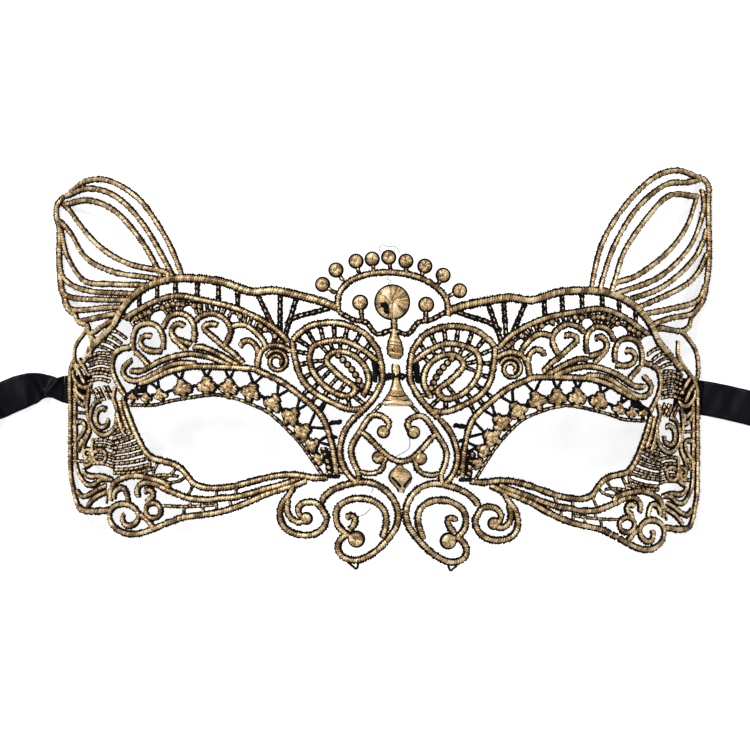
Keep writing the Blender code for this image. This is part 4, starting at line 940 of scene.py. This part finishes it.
def bead(node, x, y, radius, tall=1.0, outline=0.58, level=0.1):
    # stitches that run out from the middle like spokes, with a cap over their ends
    line = evenly(splineThrough(laidFlat(ringOf(x, y, radius * 0.5)), True), 0.16, True)
    radii = np.full(len(line), radius * 1.12) * (1 + 0.06 * (rng.random(len(line)) - 0.5))
    radii[1::2] *= 0.93
    addTo(node, "satin", line, radii, True, level, tall)
    wide = radius + outline
    line = evenly(splineThrough(laidFlat(ringOf(x, y, wide * 0.5)), True), 0.3, True)
    addTo(node, "ground", line, np.full(len(line), wide * 1.04), True, level, 0.7)
    middle = [(x - radius * 0.2, y), (x + radius * 0.2, y)]
    line, radii, closed = satinStroke(middle, radius * 0.35, shape=leafShape(0.5, 0.4))
    addTo(node, "satin", line, radii, closed, level + tall * 0.45, tall * 0.4)


def nearest(line, spot):
    line = np.array(line)
    gaps = np.hypot(*(line - spot).T)
    return line[gaps.argmin()], gaps.min()


def rungs(node, line, other, step, least, most, width, gold):
    # whipped threads from each step of a line to the nearest place on another
    for spot in evenly(line, step)[1:-1]:
        end, gap = nearest(other, spot)
        if least < gap < most:
            bar(node, [tuple(spot), tuple(end)], width, gold)


def earOf(side):
    node = f"ear_{side}"
    ribs, rim, leaf = earLinesLeft if side == "left" else earLinesRight
    topLine = splineThrough(both(topCordLeft, side))[:, :2]
    for line in ribs:
        made = list(line)
        for end in (0, -1):  # a rib runs on to the cord that it is sewn to
            foot, gap = nearest(topLine, line[end])
            if 0.8 < gap < 5:
                made.insert(0 if end == 0 else len(made), tuple(foot))
        cord(node, made, width=0.94, edging=0.75)
    cord(node, rim, width=0.94, edging=0.75)
    cord(node, leaf, width=0.85, edging=0.75)


def paisleyOf(side):
    node = f"paisley_{side}"
    for line in paisleyLeft:
        cord(node, both(line, side))
    outer = splineThrough(both(paisleyOutlineLeft, side))
    inner = splineThrough(both(paisleyLeft[2][:9], side))[:, :2]
    spiral = splineThrough(both(paisleyLeft[2][8:15], side))[:, :2]
    rungs(node, outer, inner, 4.2, 1.2, 6, 1.7, 0.5)
    rungs(node, inner, spiral, 3.2, 1.2, 5, 1.5, 0.5)
    for spot in evenly(splineThrough(both(paisleyKnotsLeft, side)), 1.75):
        bead(node, *spot, 0.62, 0.8, 0.5)
    thread(node, both([(-5.2, 1.5), (-4.8, -1.4), (-5, -4.5)], side), 1.8)


def eyeTrim(side, browLine):
    node = f"eye_trim_{side}"
    knots = [np.array(p) for p in both(knotsLeft, side)]
    eyeLine = splineThrough(both(eyeTopLeft, side))[:, :2]
    handed = 1 if side == "left" else -1
    for i, spot in enumerate(knots):
        reach = knots[min(len(knots) - 1, i + 1)] - knots[max(0, i - 1)]
        along = reach / np.linalg.norm(reach)
        down = np.array([along[1], -along[0]]) * handed
        size = float(np.interp(i, *knotSizes))
        flower(node, *spot, math.atan2(down[1], down[0]), size)
        for shift in (-1.6, 1.6):
            foot, gap = nearest(browLine, spot + along * shift)
            thread(node, [tuple(spot - down * size * 0.5), tuple(foot)], 1.0)
        if i + 1 < len(knots):
            between = (spot + knots[i + 1]) / 2 - down * 0.4
            thread(node, [tuple(spot), tuple(between), tuple(knots[i + 1])], 1.1)
        foot, gap = nearest(eyeLine, spot)
        thread(node, [tuple(spot), tuple(foot)], 1.2)
    bar(node, both(eyeTopLeft, side), 1.3, 0.5)
    for line, width in goldPatchesLeft:
        bar(node, both(line, side), width, width * 0.45)
    for line, width in blackPatchesLeft:
        thread(node, both(line, side), width)


def templeOf(side):
    node = f"temple_{side}"
    for line in templeLeft:
        cord(node, both(line, side), width=0.8)
    for line in templeBarsLeft:
        bar(node, both(line, side))
    for loop in templeRings:
        cord(node, both(ringOf(*loop["centre"], loop["radius"]), side), width=0.6, closed=True)
    for near, far, count, sag in templeHatchLeft:
        hatch(node, both(near, side), both(far, side), count, sag)


def laceHalf(side):
    def lines(node, table, **more):
        for line in table:
            cord(node, both(line, side), **more)

    def knob(node, point, radius):
        bead(node, *both([point], side)[0], radius)

    lines(f"top_edge_{side}", [topCordLeft], width=1.4)
    lines(f"top_edge_{side}", [browTopLeft], width=1.0)
    for line in rungsLeft:
        bar(f"top_edge_{side}", both(line, side), 1.9, 0.5)
    earOf(side)
    x, y = both([rosette["centre"]], side)[0]
    coil = spiralOf(x, y, rosette["outer"], rosette["inner"], rosette["start"], rosette["turns"])
    cord(f"rosette_{side}", coil, width=0.55)
    paisleyOf(side)
    lines(f"brow_cord_{side}", [browCordLeft])
    browLine = splineThrough(both(browCordLeft, side))[:, :2]
    eyeTrim(side, browLine)
    scrolls = f"brow_scrolls_{side}"
    lines(scrolls, browCordsLeft, width=0.95)
    net(scrolls, both(browTopLeft, side), both(browArchesLeft, side))
    outer = splineThrough(both(paisleyOutlineLeft, side))
    for spot in evenly(browLine[-250:-80], 3.4)[:-1]:
        foot, gap = nearest(outer, spot)
        if 1 < gap < 5:
            bar(scrolls, [tuple(spot), tuple(foot)], 1.7, 0.4)
    lines(f"cheek_{side}", cheekLeft)
    for line in cheekBarsLeft:
        bar(f"cheek_{side}", both(line, side))
    lines(f"jaw_{side}", jawLeft, width=0.95)
    centre = both([jawRing["centre"]], side)[0]
    cord(f"jaw_{side}", ringOf(*centre, jawRing["radius"]), width=0.8, closed=True)
    lines(f"side_edge_{side}", sideLeft)
    templeOf(side)
    lines(f"nose_curl_{side}", noseCurlLeft)
    knob(f"nose_curl_{side}", (-24.4, -43.2), 1.35)
    scroll = f"nose_scroll_{side}"
    lines(scroll, noseScrollLeft)
    knob(scroll, (-10.1, -49), 1.9)
    thread(scroll, both([(-12.4, -55.6), (-11, -56.8), (-10, -57.4), (-9.4, -55.6)], side), 0.7)
    if side == "left":
        bar(scroll, [(1, -41), (5, -41)])
        thread(scroll, [(-6.5, -33.6), (-5.4, -34.6), (-6, -35.8)], hair)
        thread(scroll, [(-10.8, -43), (-8, -42), (-6, -40.2)], hair)
    lines(f"nose_bow_{side}", bowLeft, width=0.9)
    knob(f"nose_bow_{side}", (-2.5, -18.5), 1.35)


# heights and half widths down each filled piece of the middle
teardropWidths = [(11.4, 0.35), (9, 0.9), (7, 1.7), (5, 2.1), (3.5, 1.9), (2.6, 1.2), (2.2, 0.5)]
bellWidths = [
    (0.8, 0.5), (0.2, 0.85), (-1.2, 0.9), (-3.4, 0.65), (-5, 0.95),
    (-7, 1.8), (-8.6, 2.9), (-9.8, 4), (-10.8, 4.4), (-11.2, 3.2),
]
pendantWidths = [
    (-27.2, 0.35), (-28.3, 0.55), (-29, 1.6), (-30.2, 2.8),
    (-31.4, 3.2), (-33, 2.5), (-34.6, 0.9), (-35.8, 0.4),
]


def filled(node, table, tall):
    # a piece of the middle, filled with stitches from side to side
    heights, halves = np.array(table, float).T
    way = (heights[0] - heights) / (heights[0] - heights[-1])
    middle = [centred((0, y)) for y in np.linspace(heights[0], heights[-1], 5)]
    line = evenly(splineThrough(laidFlat(middle)), 0.2)
    radii = np.full(len(line), 2 * halves.max()) * (1 + stitch["jitter"] * (rng.random(len(line)) - 0.5))
    radii[1::2] *= 0.93
    radii *= np.interp(np.linspace(0, 1, len(line)), way, halves / halves.max())
    fat(node, line, radii, tall)


def crown():
    cord("crown", [centred(p) for p in crownArc], width=0.9)
    bar("crown", crownBase, 1.9, 0.7)
    for tip, foot in zip(crownBeads, stemFeet):
        bar("crown", [tip, foot], 1.5, 0.75)
    for s in (-1, 1):
        cord("crown", [centred((s * 9.4, 18)), centred((s * 9, 12.8))], width=0.5, level=-0.05)
        bead("crown", *centred((s * 9.4, 18)), 1.75)
    cord("crown", [centred((0, 14)), centred((0, 11))], width=1.0, level=-0.05)
    bead("medallion", 0, 18.4, 4.5, 1.3)
    thread("medallion", [(-3.1, 18.1), (-1.8, 17), (-1.6, 15)], 1.9, 1.0)
    for y in (19, 17.6, 16.3):
        thread("medallion", [(2.2, y), (3.9, y - 0.1)], 0.4, 1.2)
    for number, spot in enumerate(crownBeads, 1):
        bead(f"crown_bead_{number}", *spot, 1.62)
    for line in looseThreads:
        thread("crown", line, hair)


def bridgeOfNose():
    filled("teardrop", teardropWidths, 1.3)
    eyelet = ringOf(0.45, 4.9, 0.5, 8)
    thread("teardrop", eyelet + eyelet[:1], 0.6, 1.15)
    filled("bell", bellWidths, 1.4)
    for line in bellSeams:
        thread("bell", line, 0.35, 1.2)
    thread("heart", [(4.9, -20), (4.6, -23.2), (1, -25.6)], hair)
    thread("pendant", [(-0.4, -31.2), (1, -32.6), (2.1, -34.2)], 0.8, 1.1)
    thread("pendant", [(5, -31.4), (3.8, -32.8), (2.9, -34.2)], 0.8, 1.1)
    for line, width in bellBars:
        bar("bell", line, width, 0.5)
    cord("heart", [centred(p) for p in heart], width=0.85)
    for s in (-1, 1):
        cord("heart", [centred((s * x, y)) for x, y in heartLoops], width=0.7)
        bead("heart", *centred((s * 5.9, -25.9)), 1.4)
    filled("pendant", pendantWidths, 1.3)


laceHalf("left")
laceHalf("right")
crown()
bridgeOfNose()
kinds = {
    "satin": (satinProfile, stitch["lift"], "gold_thread"),
    "ground": (groundProfile, 0.0, "black_thread"),
}
triangles = 0
for (node, layer), strokes in layers.items():
    shape, lift, slot = kinds[layer]
    mesh = swept(f"{node}_{layer}", strokes, shape, lift)
    triangles += sum(len(p.vertices) - 2 for p in mesh.polygons)
    finished(f"{node}_{layer}", mesh, slot, [node])
print("lace sewn", len(layers), "pieces,", triangles, "triangles")

# the folded end that is sewn to the lace, one on each tie, millimetres
tab = {"length": 8.0, "width": 10.0, "thickness": 0.5, "lift": 0.02}


def foldedEnd(side):
    (ax, ay), (bx, by) = (np.array(p) * 1000 for p in tieRoutes[side][:2])
    heading = math.atan2(by - ay, bx - ax)
    narrow = tieWidths[side][1][0]  # how far the sewing gathers it where the tie begins
    mesh = bmesh.new()
    bmesh.ops.create_grid(mesh, x_segments=16, y_segments=14, size=0.5)
    made = bmesh.ops.extrude_face_region(mesh, geom=list(mesh.faces))
    for vert in [g for g in made["geom"] if isinstance(g, bmesh.types.BMVert)]:
        vert.co.z += 1
    bmesh.ops.recalc_face_normals(mesh, faces=mesh.faces)
    for vert in mesh.verts:
        s, t, h = vert.co
        wave = 0.12 * math.sin(9 * s + 2 * t) + 0.1 * math.sin(5 * t)
        width = tab["width"] * (1 - (1 - narrow) * (s + 0.5))
        vert.co = ((s - 0.5) * tab["length"], t * width, h * tab["thickness"] + max(0, wave))
    layer = mesh.loops.layers.uv.new("ribbon")
    for face in mesh.faces:
        for loop in face.loops:
            loop[layer].uv = loop.vert.co.xy
    turn = np.array([[math.cos(heading), -math.sin(heading)], [math.sin(heading), math.cos(heading)]])
    for vert in mesh.verts:
        x, y = turn @ np.array(vert.co.xy) + (ax, ay)
        vert.co = (x * mm, y * mm, (vert.co.z + tab["lift"]) * mm)
    data = bpy.data.meshes.new(f"tabEnd_{side}")
    mesh.to_mesh(data)
    mesh.free()
    return finished(f"ribbonEnd_{side}", data, "black_satin", [f"tab_{side}"])


for side in ("left", "right"):
    foldedEnd(side)
print("folded ends sewn")

light = {
    "keyLight": {"strength": 3.3, "place": (-0.5, 0.7, 1.1), "spread": 0.25},
    "fillLight": {"strength": 0.35, "place": (0.8, -0.4, 1.0), "spread": 1.2},
}
surroundings = {"world": 0.42, "floorHalf": 3, "floorGrey": 0.55, "floorGlow": 0.72}


def floor():
    mesh = bmesh.new()
    bmesh.ops.create_grid(mesh, x_segments=1, y_segments=1, size=surroundings["floorHalf"])
    data = bpy.data.meshes.new("floor")
    mesh.to_mesh(data)
    mesh.free()
    made = bpy.data.objects.new("floor", data)
    bpy.context.scene.collection.objects.link(made)
    material, tree, shader = nodeMaterial("paleFloor")
    shader.inputs["Base Color"].default_value = (*[surroundings["floorGrey"]] * 3, 1)
    shader.inputs["Roughness"].default_value = 1
    shader.inputs["Specular IOR Level"].default_value = 0
    shader.inputs["Emission Color"].default_value = (1, 1, 1, 1)
    shader.inputs["Emission Strength"].default_value = surroundings["floorGlow"]
    data.materials.append(material)


def sun(name, strength, place, spread):
    data = bpy.data.lights.new(name, "SUN")
    data.energy = strength
    data.angle = spread
    made = bpy.data.objects.new(name, data)
    bpy.context.scene.collection.objects.link(made)
    made.location = place
    made.rotation_euler = (-Vector(place)).to_track_quat("-Z", "Y").to_euler()


floor()
for name, lamp in light.items():
    sun(name, **lamp)
world = bpy.data.worlds.new("studio")
bpy.context.scene.world = world
world.use_nodes = True
background = world.node_tree.nodes["Background"]
background.inputs["Color"].default_value = (1, 1, 1, 1)
background.inputs["Strength"].default_value = surroundings["world"]
bpy.context.scene.view_settings.view_transform = "Standard"
print("lit")
